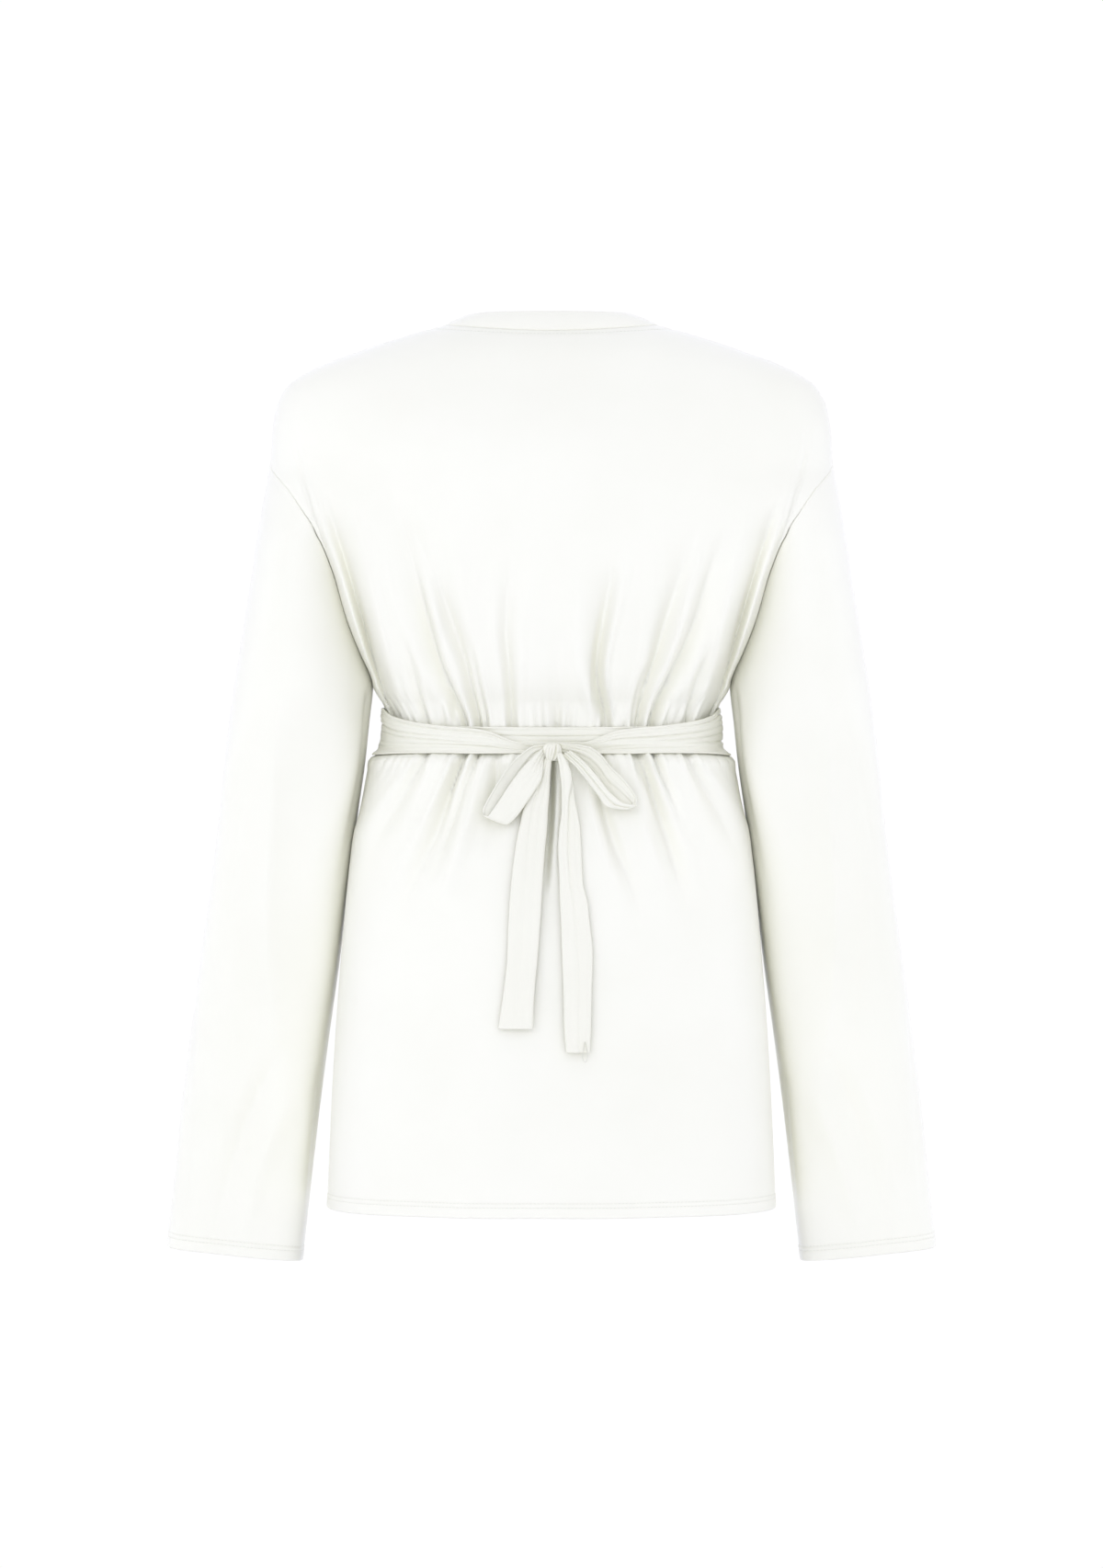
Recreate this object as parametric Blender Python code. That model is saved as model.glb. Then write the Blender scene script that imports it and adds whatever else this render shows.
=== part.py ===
"""A long-sleeved jersey wrap top, worn and hollow, tied behind in a bow. Blender 4.5, metres, +Z up.

The front faces -Y and the wearer's left is +X. The origin lies midway between the two points where
the neckband meets the shoulders. Tables are in millimetres; MM turns them into metres.
"""

import math

import bpy
from mathutils import Vector

MM = 0.001

# Cloth and seams
CLOTH = 1.3  # wall of the jersey panels
BAND_CLOTH = 1.7  # folded neckband
TIE_CLOTH = 1.5  # turned-through tie
SEAM_GAP = 0.4  # between neighbouring pieces
ARMHOLE_TRIM = 0.9  # room for both walls where they meet at the armhole
SQUARENESS = 2.35  # of the body's rings; 2 is a true ellipse

# Heights that the cut depends on
SHOULDER_END = -113.0  # top of the armhole, out on the upper arm
UNDERARM = -302.0
BELT_TOP = -318.0
BELT_MIDDLE = -340.0
BELT_BOTTOM = -361.0
HEM = -730.0
WAIST = -346.0  # the ring that the belt lies on
CUFF_OUTER, CUFF_INNER = -766.0, -779.0

# Rings of the body. edge: the seam's distance from the middle; back, front: depth at the middle.
BODY_COLUMNS = ("z", "edge", "back", "front")
BODY = (
    (-3, 88, 47, 26),
    (-8, 116, 55, 38),
    (-17, 152, 63, 52),
    (-36, 191, 71, 64),
    (-55, 218, 78, 77),
    (-75, 228, 85, 91),
    (-97, 231, 91, 103),
    (-113, 232, 94, 111),
    (-138, 218, 97, 121),
    (-166, 198, 99, 129),
    (-181, 190, 99.5, 132),
    (-213, 177, 99, 135),
    (-249, 167, 96, 134),
    (-275, 157, 92.5, 129),
    (-302, 147, 88.5, 120),
    (-310, 140, 84, 111),
    (-317, 134.2, 81, 105),
    (-326, 132.7, 80, 103.3),
    (-346, 132.5, 79.5, 103),
    (-361, 133.8, 80.3, 104),
    (-368, 148, 87.5, 110.5),
    (-386, 154, 92, 114),
    (-404, 158.5, 96, 116),
    (-421, 163, 99.5, 117.5),
    (-446, 166.5, 104.5, 119),
    (-481, 170, 110, 121),
    (-524, 173.5, 114.5, 123),
    (-580, 177.5, 118, 124.5),
    (-640, 181, 120, 125.5),
    (HEM, 185, 121, 126),
)

# Upper arm and sleeve. outer, inner: its two sides; depth: half its thickness; lag: its middle's Y.
ARM_COLUMNS = ("z", "outer", "inner", "depth", "lag")
ARM = (
    (-113, 232, 136, 46, 0),
    (-138, 236.5, 145, 58, 0),
    (-166, 241.5, 154.5, 65, 0),
    (-181, 244, 165, 66, 0),
    (-213, 248.7, 163, 64, 0),
    (-249, 254.4, 158, 61, 0),
    (-275, 258.5, 153, 59.5, 0),
    (-302, 262.8, 147.6, 58.5, 0),
    (-330, 266.9, 150.6, 57.5, -3),
    (-362, 270.6, 154.3, 56, -9),
    (-411, 275.8, 161.6, 53.5, -19),
    (-460, 282.4, 168.2, 51, -27),
    (-535, 293.5, 177.6, 48, -36),
    (-589, 300.8, 185.4, 45.5, -41),
    (-652, 308.7, 193.7, 42.5, -44),
    (-695, 313.1, 198.8, 40.5, -46),
    (-740, 318.2, 203.9, 38.5, -47),
    (-780, 322.3, 208.3, 38, -48),
)

# Armhole seam on the arm. turn: degrees round the arm from its inner side; z: the seam's height.
ARMHOLE_COLUMNS = ("turn", "z")
ARMHOLE = ((0, -302), (22.5, -275), (35.6, -249), (47.7, -213), (68.5, -181), (90, -166), (126, -138), (180, -113))

# Gathers held by the belt, left to right from the wearer's left. at_belt, above_x, below_x: distance
# from the middle; above_z, below_z: where each dies out; above, below: how deep it is by the belt.
GATHER_COLUMNS = ("at_belt", "above_x", "above_z", "above", "below_x", "below_z", "below")
BACK_GATHERS = (
    (100, 113.5, -272, 3.5, 144.5, -453, 3),
    (70, 121.5, -171, 5.5, 119.5, -483, 3.5),
    (55, 84, -209, 6, 93, -458, 6.5),
    (33, 35, -199, 5.5, 43, -439, 3.5),
    (-2.5, 2, -258, 3, 0, -488, 7),
    (-43, -49, -199, 6, -66.5, -473, 4.5),
    (-66.5, -101.5, -209, 6, -98, -453, 6.5),
    (-79.5, -138, -171, 5.5, -119.5, -478, 3.5),
    (-107.5, -122, -272, 3.5, -146.5, -453, 3),
)
FRONT_GATHERS = (
    (100, 128, -235, 4.5, 128, -450, 3.5),
    (78, 84, -262, 3.5, 104, -480, 4.5),
    (49, 66, -250, 6.0, 62, -440, 4.0),
    (24, 30, -272, 3.5, 34, -500, 5.0),
    (-8, 2, -245, 5.5, -12, -450, 3.5),
    (-36, -24, -262, 4.0, -50, -490, 5.5),
    (-62, -58, -230, 6.0, -88, -455, 4.0),
    (-92, -112, -245, 3.6, -122, -480, 3.6),
)
# The long fold down each side, from the end of the shoulder to the belt: deepest half way.
SIDE_FOLD = {"top": (184, -148), "foot": (130.5, -330), "depth": 9.0}
UNDER_BELT = 0.3  # share of a gather's depth that is left under the belt
PUFF = 0.3  # the ridge between two gathers swells by this share of their depth
STEPS_PER_GATHER = {1: 4, -1: 3}  # columns of the back and front walls from one gather to the next
EDGE_STEPS = 2  # columns from the side fold to the side seam

# Wrap fronts: the seam between front and neckband runs from shoulder to the far side of the waist.
NECK_SIDE = 88.0
WRAP_AT_WAIST = 92.0
WRAP_AT_HEM = 118.0
WRAP_CURVE = 1.3
EDGE_SNAP = 4.0  # a column ending nearer than this to the wrap edge moves onto it
LAYER_STEP = 5.0  # how far the under front lies inside the over front
BAND_WIDTH = 22.0
BAND_STEPS = 5
BAND_GAP = 0.8
BACK_NECK_DROP = 8.0  # how much lower the seam runs at the middle back

# Wall rows, top to bottom. The armhole's rows end at the same points as the sleeve's columns.
ARMHOLE_ROWS = (-113, -119, -130, -146, -166, -190, -220, -250, -278, -302)
BACK_ROWS = (-3, -11, -22, -36, -54, -76, -97, *ARMHOLE_ROWS, -317, -334, -346, -361, -368, -386, -421, -470,
             -540, -640, HEM)
FRONT_ROWS = (-3.6, -6, -14, -26, -42, -64, -90, *ARMHOLE_ROWS, -317, -334, -346, -361, -368, -386, -421, -470,
              -550, -640, HEM)
BAND_TURNS_FROM = -14  # above this height the neckband turns from lying on the front to standing at the neck
SLEEVE_CAP_ROWS = 4
SLEEVE_ROWS = (-332, -370, -415, -470, -530, -590, -655, -720)

# The belt's stretches. round: degrees from the middle back to the wearer's left; lift: off the cloth.
# The right tie crosses over the left one in front, then runs below it and tucks in behind it at the side.
PASS_COLUMNS = ("round", "top", "bottom", "lift")
BACK_PASS = (
    (-110, -331, -352, 2.4),
    (-90, -332, -354, 2.4),
    (0, -336, -357, 1.8),
    (90, -332, -354, 2.4),
)
LEFT_WRAP = (
    (5, -351, -356, 4.6),
    (12, -347.5, -356.5, 5.0),
    (23, -338, -357, 5.0),
    (38, -334.5, -356.5, 5.0),
    (51, -331, -356.5, 5.0),
    (64, -326.4, -357, 5.0),
    (80, -320, -357.5, 5.0),
    (92, -319, -353, 5.0),
    (106, -319, -343, 5.0),
    (117, -319, -337, 5.0),
    (140, -321, -337, 3.4),
    (155, -324, -350, 3.0),
    (180, -328, -357, 3.0),
    (236, -330, -357, 3.0),
)
RIGHT_WRAP = (
    (-5, -351, -356, 4.6),
    (-12, -347.5, -356.5, 5.0),
    (-23, -338, -357, 5.0),
    (-38, -334.5, -356.5, 5.0),
    (-51, -331, -356.5, 5.0),
    (-64, -326.4, -357, 5.0),
    (-80, -320, -358, 5.0),
    (-100, -319, -358, 5.2),
    (-150, -322, -356, 6.0),
    (-180, -322, -352, 6.0),
    (-202, -327, -354, 6.0),
    (-218, -338.5, -357, 6.0),
    (-229, -339, -357, 4.6),
    (-242, -339, -357, 2.6),
    (-260, -337, -356, 2.4),
)

# Bow and ends. Each row is a rung of the ribbon: x, z of one edge, x, z of the other, and how far
# each edge stands off the back of the belt.
RUNG_COLUMNS = ("x1", "z1", "off1", "x2", "z2", "off2")
LEFT_LOOP = (
    (4, -350.5, 10.5, 6, -354.5, 9),
    (20, -353, 11, 23, -367, 7),
    (35, -366, 12, 37, -381, 8),
    (47, -383, 14, 46, -394, 9),
    (55, -399, 17, 47, -404, 11),
    (56, -405, 21, 42, -411, 16),
    (52, -407, 26, 34, -414, 22),
    (44, -401, 30, 24, -404, 27),
    (32, -383, 31, 14, -389, 28),
    (20, -365, 26, 7.5, -374, 24),
    (10, -353.5, 18.5, 5.8, -362, 17),
)
RIGHT_LOOP = (
    (-14, -350, 10.5, -13, -356, 8),
    (-28, -351, 13, -24, -362, 7),
    (-42, -362, 15, -37, -370, 8),
    (-56, -377, 17, -50, -386, 9),
    (-66, -390, 20, -62, -396, 12),
    (-68, -397, 24, -66, -401, 17),
    (-62, -395, 29, -56, -404, 23),
    (-50, -385, 31, -42, -398, 27),
    (-34, -371, 29, -26, -385, 27),
    (-21, -358, 22, -17, -368, 22),
    (-14.5, -351, 16.5, -14, -360, 17),
)
TAIL_COLUMNS = ("z", "x1", "x2", "off")
LEFT_TAIL = (
    (-362, 8.3, -1, 10),
    (-376, 12.6, 2, 8),
    (-396, 20.4, 5.8, 6),
    (-417, 25.3, 6.3, 3.5),
    (-462, 32.1, 7.3, 2.5),
    (-508, 34.5, 9.7, 2.5),
    (-536, 37, 12.2, 2.5),
    (-574, 41, 14.6, 2.5),
)
RIGHT_TAIL = (
    (-362, -3.5, -13, 13),
    (-378, -7.3, -16.5, 12),
    (-409, -7.1, -20.1, 7),
    (-432, -5.3, -22.6, 4.5),
    (-469, -7, -28, 2.5),
    (-522, -9.4, -31.2, 2.5),
    (-560, -10.7, -31.7, 2.5),
    (-594, -11.4, -31.7, 2.5),
)
KNOT_CENTRE = (-4.0, 13.0, -354.5)  # x, distance off the back of the belt, z
KNOT_RADII = (9.0, 6.4, 8.2)

JERSEY = (0.93, 0.93, 0.89, 1.0)


def clear_scene():
    for obj in list(bpy.data.objects):
        bpy.data.objects.remove(obj)


def smooth(t):
    t = min(1.0, max(0.0, t))
    return t * t * (3 - 2 * t)


def lookup(table, column, at, key=0):
    """The column's value at a place along the table's key column, on a smooth curve through its rows."""
    rows = sorted(table, key=lambda row: row[key])
    if at <= rows[0][key]:
        return rows[0][column]
    if at >= rows[-1][key]:
        return rows[-1][column]
    i = max(k for k in range(len(rows) - 1) if rows[k][key] <= at)
    start, end = rows[i], rows[i + 1]
    span = end[key] - start[key]
    t = (at - start[key]) / span

    def slope(k):
        """Tangent at row k, flat where the column turns round, so that the curve never overshoots."""
        if k in (0, len(rows) - 1):
            near = 1 if k == 0 else len(rows) - 2
            return (rows[near][column] - rows[k][column]) / (rows[near][key] - rows[k][key])
        before = (rows[k][column] - rows[k - 1][column]) / (rows[k][key] - rows[k - 1][key])
        after = (rows[k + 1][column] - rows[k][column]) / (rows[k + 1][key] - rows[k][key])
        return 0.0 if before * after <= 0 else 2 * before * after / (before + after)

    t2, t3 = t * t, t * t * t
    return (
        start[column] * (2 * t3 - 3 * t2 + 1)
        + end[column] * (3 * t2 - 2 * t3)
        + slope(i) * span * (t3 - 2 * t2 + t)
        + slope(i + 1) * span * (t3 - t2)
    )


def bulge(angle):
    """How far a squared ring stands out from a round one at this angle."""
    n = SQUARENESS
    return (abs(math.sin(angle)) ** n + abs(math.cos(angle)) ** n) ** (-1 / n)


def angle_across(x, half_width):
    """The angle on a squared ring at which it lies x from the middle."""
    share = max(-1.0, min(1.0, x / half_width))
    angle = math.asin(share)
    for _ in range(8):
        angle = math.asin(max(-1.0, min(1.0, share / bulge(angle))))
    return angle


def arm_point(z, turn):
    """A point of the upper arm or sleeve. turn is in degrees from its inner side, by the back."""
    outer, inner, depth, lag = (lookup(ARM, k, z) for k in (1, 2, 3, 4))
    middle, half = (outer + inner) / 2, (outer - inner) / 2
    angle = math.radians(turn)
    return Vector((middle - half * math.cos(angle), lag + depth * math.sin(angle), z))


def armhole_height(turn):
    """Height of the armhole seam at a turn round the arm, the same at the back and at the front."""
    turn = abs(turn)
    return lookup(ARMHOLE, 1, turn if turn <= 180 else 360 - turn)


def armhole_turn(z):
    """The turn round the arm at which the armhole seam lies at a height, on the back of the arm."""
    low, high = 0.0, 180.0
    for _ in range(30):
        turn = (low + high) / 2
        low, high = (turn, high) if armhole_height(turn) < z else (low, turn)
    return low


def body_edge(z):
    """(x, depth) of the shoulder, armhole or side seam at a height."""
    if UNDERARM < z < SHOULDER_END:
        seam = arm_point(z, armhole_turn(z))
        return seam.x, seam.y
    return lookup(BODY, 1, z), 0.0


def ring_depth(x, half_width):
    """Depth of a squared ring at x, as a share of its depth at the middle."""
    return max(0.0, 1 - abs(x / half_width) ** SQUARENESS) ** (1 / SQUARENESS)


def body_ring(angle, z, side):
    """(x, y) on the body's ring at an angle from the middle back (side 1) or middle front (side -1)."""
    edge, edge_depth = body_edge(z)
    middle = lookup(BODY, 2 if side > 0 else 3, z)
    x = edge * math.sin(angle) * bulge(angle)
    y = edge_depth + (middle - edge_depth) * math.cos(angle) * bulge(angle)
    broad_share = smooth((z + 205) / 60)
    if broad_share > 0 and z < SHOULDER_END:
        # Just above the underarm one broad oval runs over the body and the upper arms.
        broad = lookup(ARM, 1, z)
        broad_y = middle * ring_depth(x, broad)
        broad_y += (edge_depth - middle * ring_depth(edge, broad)) * abs(x / edge) ** 4
        y += (broad_y - y) * broad_share
    return x, side * y


def gather_place(row, z):
    """(x of a gather at a height, its depth there)."""
    at_belt, above_x, above_z, above, below_x, below_z, below = row
    if z >= BELT_MIDDLE:
        reach = (z - BELT_MIDDLE) / (above_z - BELT_MIDDLE)
        x = at_belt + (above_x - at_belt) * min(reach, 1.0)
        fade = (z - BELT_TOP) / (above_z - BELT_TOP)
        depth, held = above, smooth((z - BELT_MIDDLE) / (BELT_TOP - BELT_MIDDLE))
    else:
        reach = (z - BELT_MIDDLE) / (below_z - BELT_MIDDLE)
        x = at_belt + (below_x - at_belt) * min(reach, 1.0)
        fade = (z - BELT_BOTTOM) / (below_z - BELT_BOTTOM)
        depth, held = below, smooth((BELT_MIDDLE - z) / (BELT_MIDDLE - BELT_BOTTOM))
    left = 1 - smooth(fade)
    return x, depth * left * (UNDER_BELT + (1 - UNDER_BELT) * held)


def side_fold_place(z):
    """(x of the side fold at a height, its depth there)."""
    (top_x, top_z), (foot_x, foot_z) = SIDE_FOLD["top"], SIDE_FOLD["foot"]
    up = (z - foot_z) / (top_z - foot_z)
    if up < 0:
        return foot_x * body_edge(z)[0] / body_edge(foot_z)[0], 0.0
    depth = 4 * up * (1 - up) * SIDE_FOLD["depth"] if up < 1 else 0.0
    return foot_x + (top_x - foot_x) * min(up, 1.0), depth


def fold_places(z, side):
    """(angle, depth) of each fold at a height, from one side seam to the other."""
    edge = body_edge(z)[0]
    x, depth = side_fold_place(z)
    table = BACK_GATHERS if side > 0 else FRONT_GATHERS
    found = [(edge, 0.0), (x, depth), *(gather_place(row, z) for row in table), (-x, depth), (-edge, 0.0)]
    return [(angle_across(x, edge), depth) for x, depth in found]


def fold_offset(angle, z, side):
    """How far the cloth lies outside its ring, below zero in a fold and above it between two."""
    if z > -130 or z < -520:
        return 0.0
    places = fold_places(z, side)
    for (a, deep_a), (b, deep_b) in zip(places, places[1:]):
        if b <= angle <= a and a > b:
            u = (a - angle) / (a - b)
            depth = deep_a + (deep_b - deep_a) * u
            rise = 1 - abs(2 * u - 1) ** 2.6
            swell = PUFF * (BELT_TOP < z or z < BELT_BOTTOM)
            return depth * ((1 + swell) * rise - 1)
    return 0.0


def body_point(angle, z, side, inset=0.0, drop=0.0):
    """A point of the body's cloth. inset moves it inwards; drop lowers the row towards the middle."""
    x, y = body_ring(angle, z, side)
    place = Vector((x, y, z - drop * math.cos(angle) ** 2))
    edge, _ = body_edge(z)
    middle = lookup(BODY, 2 if side > 0 else 3, z)
    out = Vector((x / edge**2, y / middle**2, 0)).normalized()
    return place + out * (fold_offset(angle, z, side) - inset)


def belt_point(round_degrees, z, lift):
    """A point of the belt: on the waist's ring, that far off the cloth."""
    turn = (round_degrees + 180) % 360 - 180
    side = 1 if abs(turn) <= 90 else -1
    angle = turn if side > 0 else (180 - turn if turn > 0 else -180 - turn)
    return body_under_belt(math.radians(angle), side, z, lift)


def body_under_belt(angle, side, z, lift):
    """A point at height z that stands off the waist's ring by that lift."""
    x, y = body_ring(angle, WAIST, side)
    edge, _ = body_edge(WAIST)
    middle = lookup(BODY, 2 if side > 0 else 3, WAIST)
    out = Vector((x / edge**2, y / middle**2, 0)).normalized()
    return Vector((x, y, z)) + out * lift


def cloth_material(name):
    material = bpy.data.materials.new(name)
    material.use_nodes = True
    shader = material.node_tree.nodes["Principled BSDF"]
    shader.inputs["Base Color"].default_value = JERSEY
    shader.inputs["Roughness"].default_value = 0.75
    return material


def wall(name, rows, material, thickness, ring=False, flip=False):
    """A cloth wall: a grid of points, in millimetres, thickened on its inner side. ring closes each row."""
    across = len(rows[0])
    corners, numbers = [], []
    for row in rows:
        for j, point in enumerate(row):
            # Neighbours at one place share a corner, as where columns end on a slanting edge.
            if not j or (point - row[j - 1]).length > 1e-6:
                corners.append(point * MM)
            numbers.append(len(corners) - 1)
    steps = across if ring else across - 1
    faces = []
    for i in range(len(rows) - 1):
        for j in range(steps):
            k = (j + 1) % across
            loop = (i * across + j, i * across + k, (i + 1) * across + k, (i + 1) * across + j)
            face = tuple(dict.fromkeys(numbers[c] for c in loop))
            if len(face) > 2:
                faces.append(face[::-1] if flip else face)
    mesh = bpy.data.meshes.new(name)
    mesh.from_pydata(corners, [], faces)
    mesh.shade_smooth()
    obj = bpy.data.objects.new(name, mesh)
    bpy.context.scene.collection.objects.link(obj)
    obj.data.materials.append(material)
    solid = obj.modifiers.new("cloth", "SOLIDIFY")
    solid.thickness = thickness * MM
    solid.offset = -1.0
    solid.use_rim = True
    return obj


def fold_columns(side, z):
    """Angles of a wall's columns at a height: they follow the folds, and are even above and below them."""
    places = [angle for angle, _ in fold_places(z, side)]
    following = [places[0]]
    for k, (a, b) in enumerate(zip(places, places[1:])):
        steps = EDGE_STEPS if k in (0, len(places) - 2) else STEPS_PER_GATHER[side]
        following += [a + (b - a) * i / steps for i in range(1, steps + 1)]
    even = [math.pi / 2 - math.pi * i / (len(following) - 1) for i in range(len(following))]
    share = smooth((z + 210) / 110) + smooth((-450 - z) / 130)
    return [a + (b - a) * share for a, b in zip(following, even)]


def seam_stop(z, side):
    """The angle at which a panel stops, short of its side seam or of the sleeve that it meets at a sharp valley."""
    middle, (_, edge_depth) = lookup(BODY, 2 if side > 0 else 3, z), body_edge(z)
    short = ARMHOLE_TRIM if UNDERARM <= z < SHOULDER_END else SEAM_GAP / 2
    return math.pi / 2 - short / max(20.0, middle - edge_depth)


def back_panel(material):
    rows = []
    for z in BACK_ROWS:
        drop = BACK_NECK_DROP * (1 - smooth(z / SHOULDER_END))
        stop = seam_stop(z, 1)
        angles = [max(-stop, min(stop, a)) for a in fold_columns(1, z)]
        rows.append([body_point(a, z, 1, drop=drop) for a in angles])
    wall("back_panel", rows, material, CLOTH, flip=True)


def wrap_edge(z):
    """x of the seam between the over front and the neckband, from the shoulder to the far waist."""
    waist = (z + 3) / (BELT_MIDDLE + 3)
    if waist <= 1:
        return -NECK_SIDE + (NECK_SIDE + WRAP_AT_WAIST) * max(waist, 0.0) ** WRAP_CURVE
    below = (z - BELT_MIDDLE) / (HEM - BELT_MIDDLE)
    return WRAP_AT_WAIST + (WRAP_AT_HEM - WRAP_AT_WAIST) * below


def sunk(own_angle, z, inset):
    """The under front sinks inwards away from its own shoulder and side seam, to pass beneath the other."""
    return inset * smooth((own_angle + math.pi / 2) / 0.5) * smooth(z / -140)


def wrap_front(name, material, hand, inset):
    """One wrap front. hand is -1 for the wearer's right, whose free edge lies at +X, and 1 for the left."""
    rows = []
    for z in FRONT_ROWS:
        edge, _ = body_edge(z)
        stop = seam_stop(z, -1)
        free = angle_across(wrap_edge(z), edge)
        near = EDGE_SNAP / edge
        row = []
        for own in sorted(-hand * angle for angle in fold_columns(-1, z)):
            own = max(own, -stop) if own < free - near else free
            row.append(body_point(-hand * own, z, -1, inset=sunk(own, z, inset)))
        rows.append(row)
    wall(name, rows, material, CLOTH, flip=hand < 0)


def sleeve_seam(turn):
    """The sleeve's own edge at the armhole, set off from the body's edge along the arm's surface."""
    here = arm_point(armhole_height(turn), turn)
    ahead, behind = turn + 2, turn - 2
    along = arm_point(armhole_height(ahead), ahead) - arm_point(armhole_height(behind), behind)
    down = arm_point(here.z - 2, turn) - here
    away = down - along * (down.dot(along) / along.length_squared)
    return here + away.normalized() * SEAM_GAP * 1.25


def sleeve(name, material, hand):
    back_turns = [armhole_turn(z) for z in ARMHOLE_ROWS[1:-1]]
    turns = [0.0, *sorted(back_turns), 180.0, *sorted(360 - turn for turn in back_turns)]
    even = [360 * j / len(turns) for j in range(len(turns))]
    rows = [[sleeve_seam(turn) for turn in turns]]
    for i in range(1, SLEEVE_CAP_ROWS):
        row = []
        for turn, seam in zip(turns, rows[0]):
            row.append(arm_point(seam.z + (SLEEVE_ROWS[0] - seam.z) * i / SLEEVE_CAP_ROWS, turn))
        rows.append(row)
    for i, z in enumerate(SLEEVE_ROWS):
        share = smooth(i / 3)
        turns = [a + (b - a) * share for a, b in zip(turns, even)]
        rows.append([arm_point(z, turn) for turn in turns])
    middle, tilt = (CUFF_OUTER + CUFF_INNER) / 2, (CUFF_OUTER - CUFF_INNER) / 2
    rows.append([arm_point(middle - tilt * math.cos(math.radians(turn)), turn) for turn in turns])
    rows = [[Vector((hand * p.x, p.y, p.z)) for p in row] for row in rows]
    wall(name, rows, material, CLOTH, ring=True, flip=hand < 0)


def ribbon_walls(name, rungs, material, thickness, flip=False):
    """A ribbon through rungs, each a pair of points."""
    rows = [[a, (a + b) / 2, b] for a, b in rungs]
    return wall(name, rows, material, thickness, flip=flip)


def belt_stretch(name, table, material, steps):
    start, end = table[0][0], table[-1][0]
    sign = 1 if end > start else -1
    rungs = []
    for i in range(steps + 1):
        at = start + (end - start) * i / steps
        top, bottom, lift = (lookup(table, k, at) for k in (1, 2, 3))
        outside = lift + TIE_CLOTH
        rungs.append((belt_point(at, top, outside), belt_point(at, bottom, outside)))
    ribbon_walls(name, rungs, material, TIE_CLOTH, flip=sign > 0)


def belt_back_y():
    return belt_point(0, BELT_MIDDLE, 0).y


def off_the_back(x, z, off):
    """A point off the back of the belt, kept clear of the skirt that stands out below it."""
    skirt = body_ring(angle_across(x, body_edge(z)[0]), z, 1)[1]
    return Vector((x, max(belt_back_y() + off, skirt + 2.0 + TIE_CLOTH), z))


def ribbon_from_rungs(name, table, material, steps, flip):
    """A loop of the bow: rungs read from a smooth curve through the table's rows."""
    numbered = [(i, *row) for i, row in enumerate(table)]
    rungs = []
    for i in range(steps + 1):
        at = (len(table) - 1) * i / steps
        x1, z1, off1, x2, z2, off2 = (lookup(numbered, k, at) for k in range(1, 7))
        rungs.append((off_the_back(x1, z1, off1), off_the_back(x2, z2, off2)))
    ribbon_walls(name, rungs, material, TIE_CLOTH, flip=flip)


def tail(name, table, material, steps):
    """A hanging end of the tie, which lies down on the skirt's back."""
    top, foot = table[0][0], table[-1][0]
    rungs = []
    for i in range(steps + 1):
        z = top + (foot - top) * i / steps
        x1, x2, off = (lookup(table, k, z) for k in (1, 2, 3))
        rungs.append([rest_on_skirt(x, z, off) for x in (x1, (x1 + x2) / 2, x2)])
    wall(name, rungs, material, TIE_CLOTH, flip=True)


def rest_on_skirt(x, z, off):
    """A point off the widest reach of the cloth behind it, clear of its ridges, or off the belt's back."""
    angle = angle_across(x, body_edge(z)[0])
    ring = body_ring(angle, z, 1)[1]
    swell = 2.4 * smooth((z + 520) / 60)
    y = max(ring + swell, belt_back_y() + 3) if z > -420 else ring + swell
    return Vector((x, y + off, z))


def knot(material):
    mesh = bpy.data.meshes.new("bow_knot")
    obj = bpy.data.objects.new("bow_knot", mesh)
    bpy.context.scene.collection.objects.link(obj)
    rings, turns = 8, 14
    x0, off, z0 = KNOT_CENTRE
    rx, ry, rz = KNOT_RADII
    y0 = belt_back_y() + off
    corners = [Vector((x0, y0, z0 + rz)), Vector((x0, y0, z0 - rz))]
    for i in range(1, rings):
        lift = math.pi * i / rings
        for j in range(turns):
            round_it = 2 * math.pi * j / turns
            pinch = 1 - 0.1 * math.cos(3 * round_it)
            corners.append(Vector((
                x0 + rx * pinch * math.sin(lift) * math.cos(round_it),
                y0 + ry * pinch * math.sin(lift) * math.sin(round_it),
                z0 + rz * math.cos(lift),
            )))
    faces = []
    for j in range(turns):
        k = (j + 1) % turns
        faces.append((0, 2 + j, 2 + k))
        last = 2 + (rings - 2) * turns
        faces.append((1, last + k, last + j))
        for i in range(rings - 2):
            a = 2 + i * turns
            faces.append((a + j, a + turns + j, a + turns + k, a + k))
    mesh.from_pydata([c * MM for c in corners], [], faces)
    mesh.shade_smooth()
    mesh.materials.append(material)


def neckband(material):
    """One strip from hem to hem: up the over front, round the back neck and down the under front."""
    under = LAYER_STEP + 2.4
    heights = [z for z in FRONT_ROWS if z <= BAND_TURNS_FROM]
    turning = [z for z in FRONT_ROWS if z > BAND_TURNS_FROM]
    stations = [band_rung(z, -1, 0.0) for z in reversed(heights)]
    stations += [turning_rung(z, -1, 0.0) for z in reversed(turning)]
    stations += [neck_rung(math.pi * k / 14) for k in range(15)]
    stations += [turning_rung(z, 1, under) for z in turning]
    stations += [band_rung(z, 1, under) for z in heights]
    wall("neckband", stations, material, BAND_CLOTH)


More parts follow.
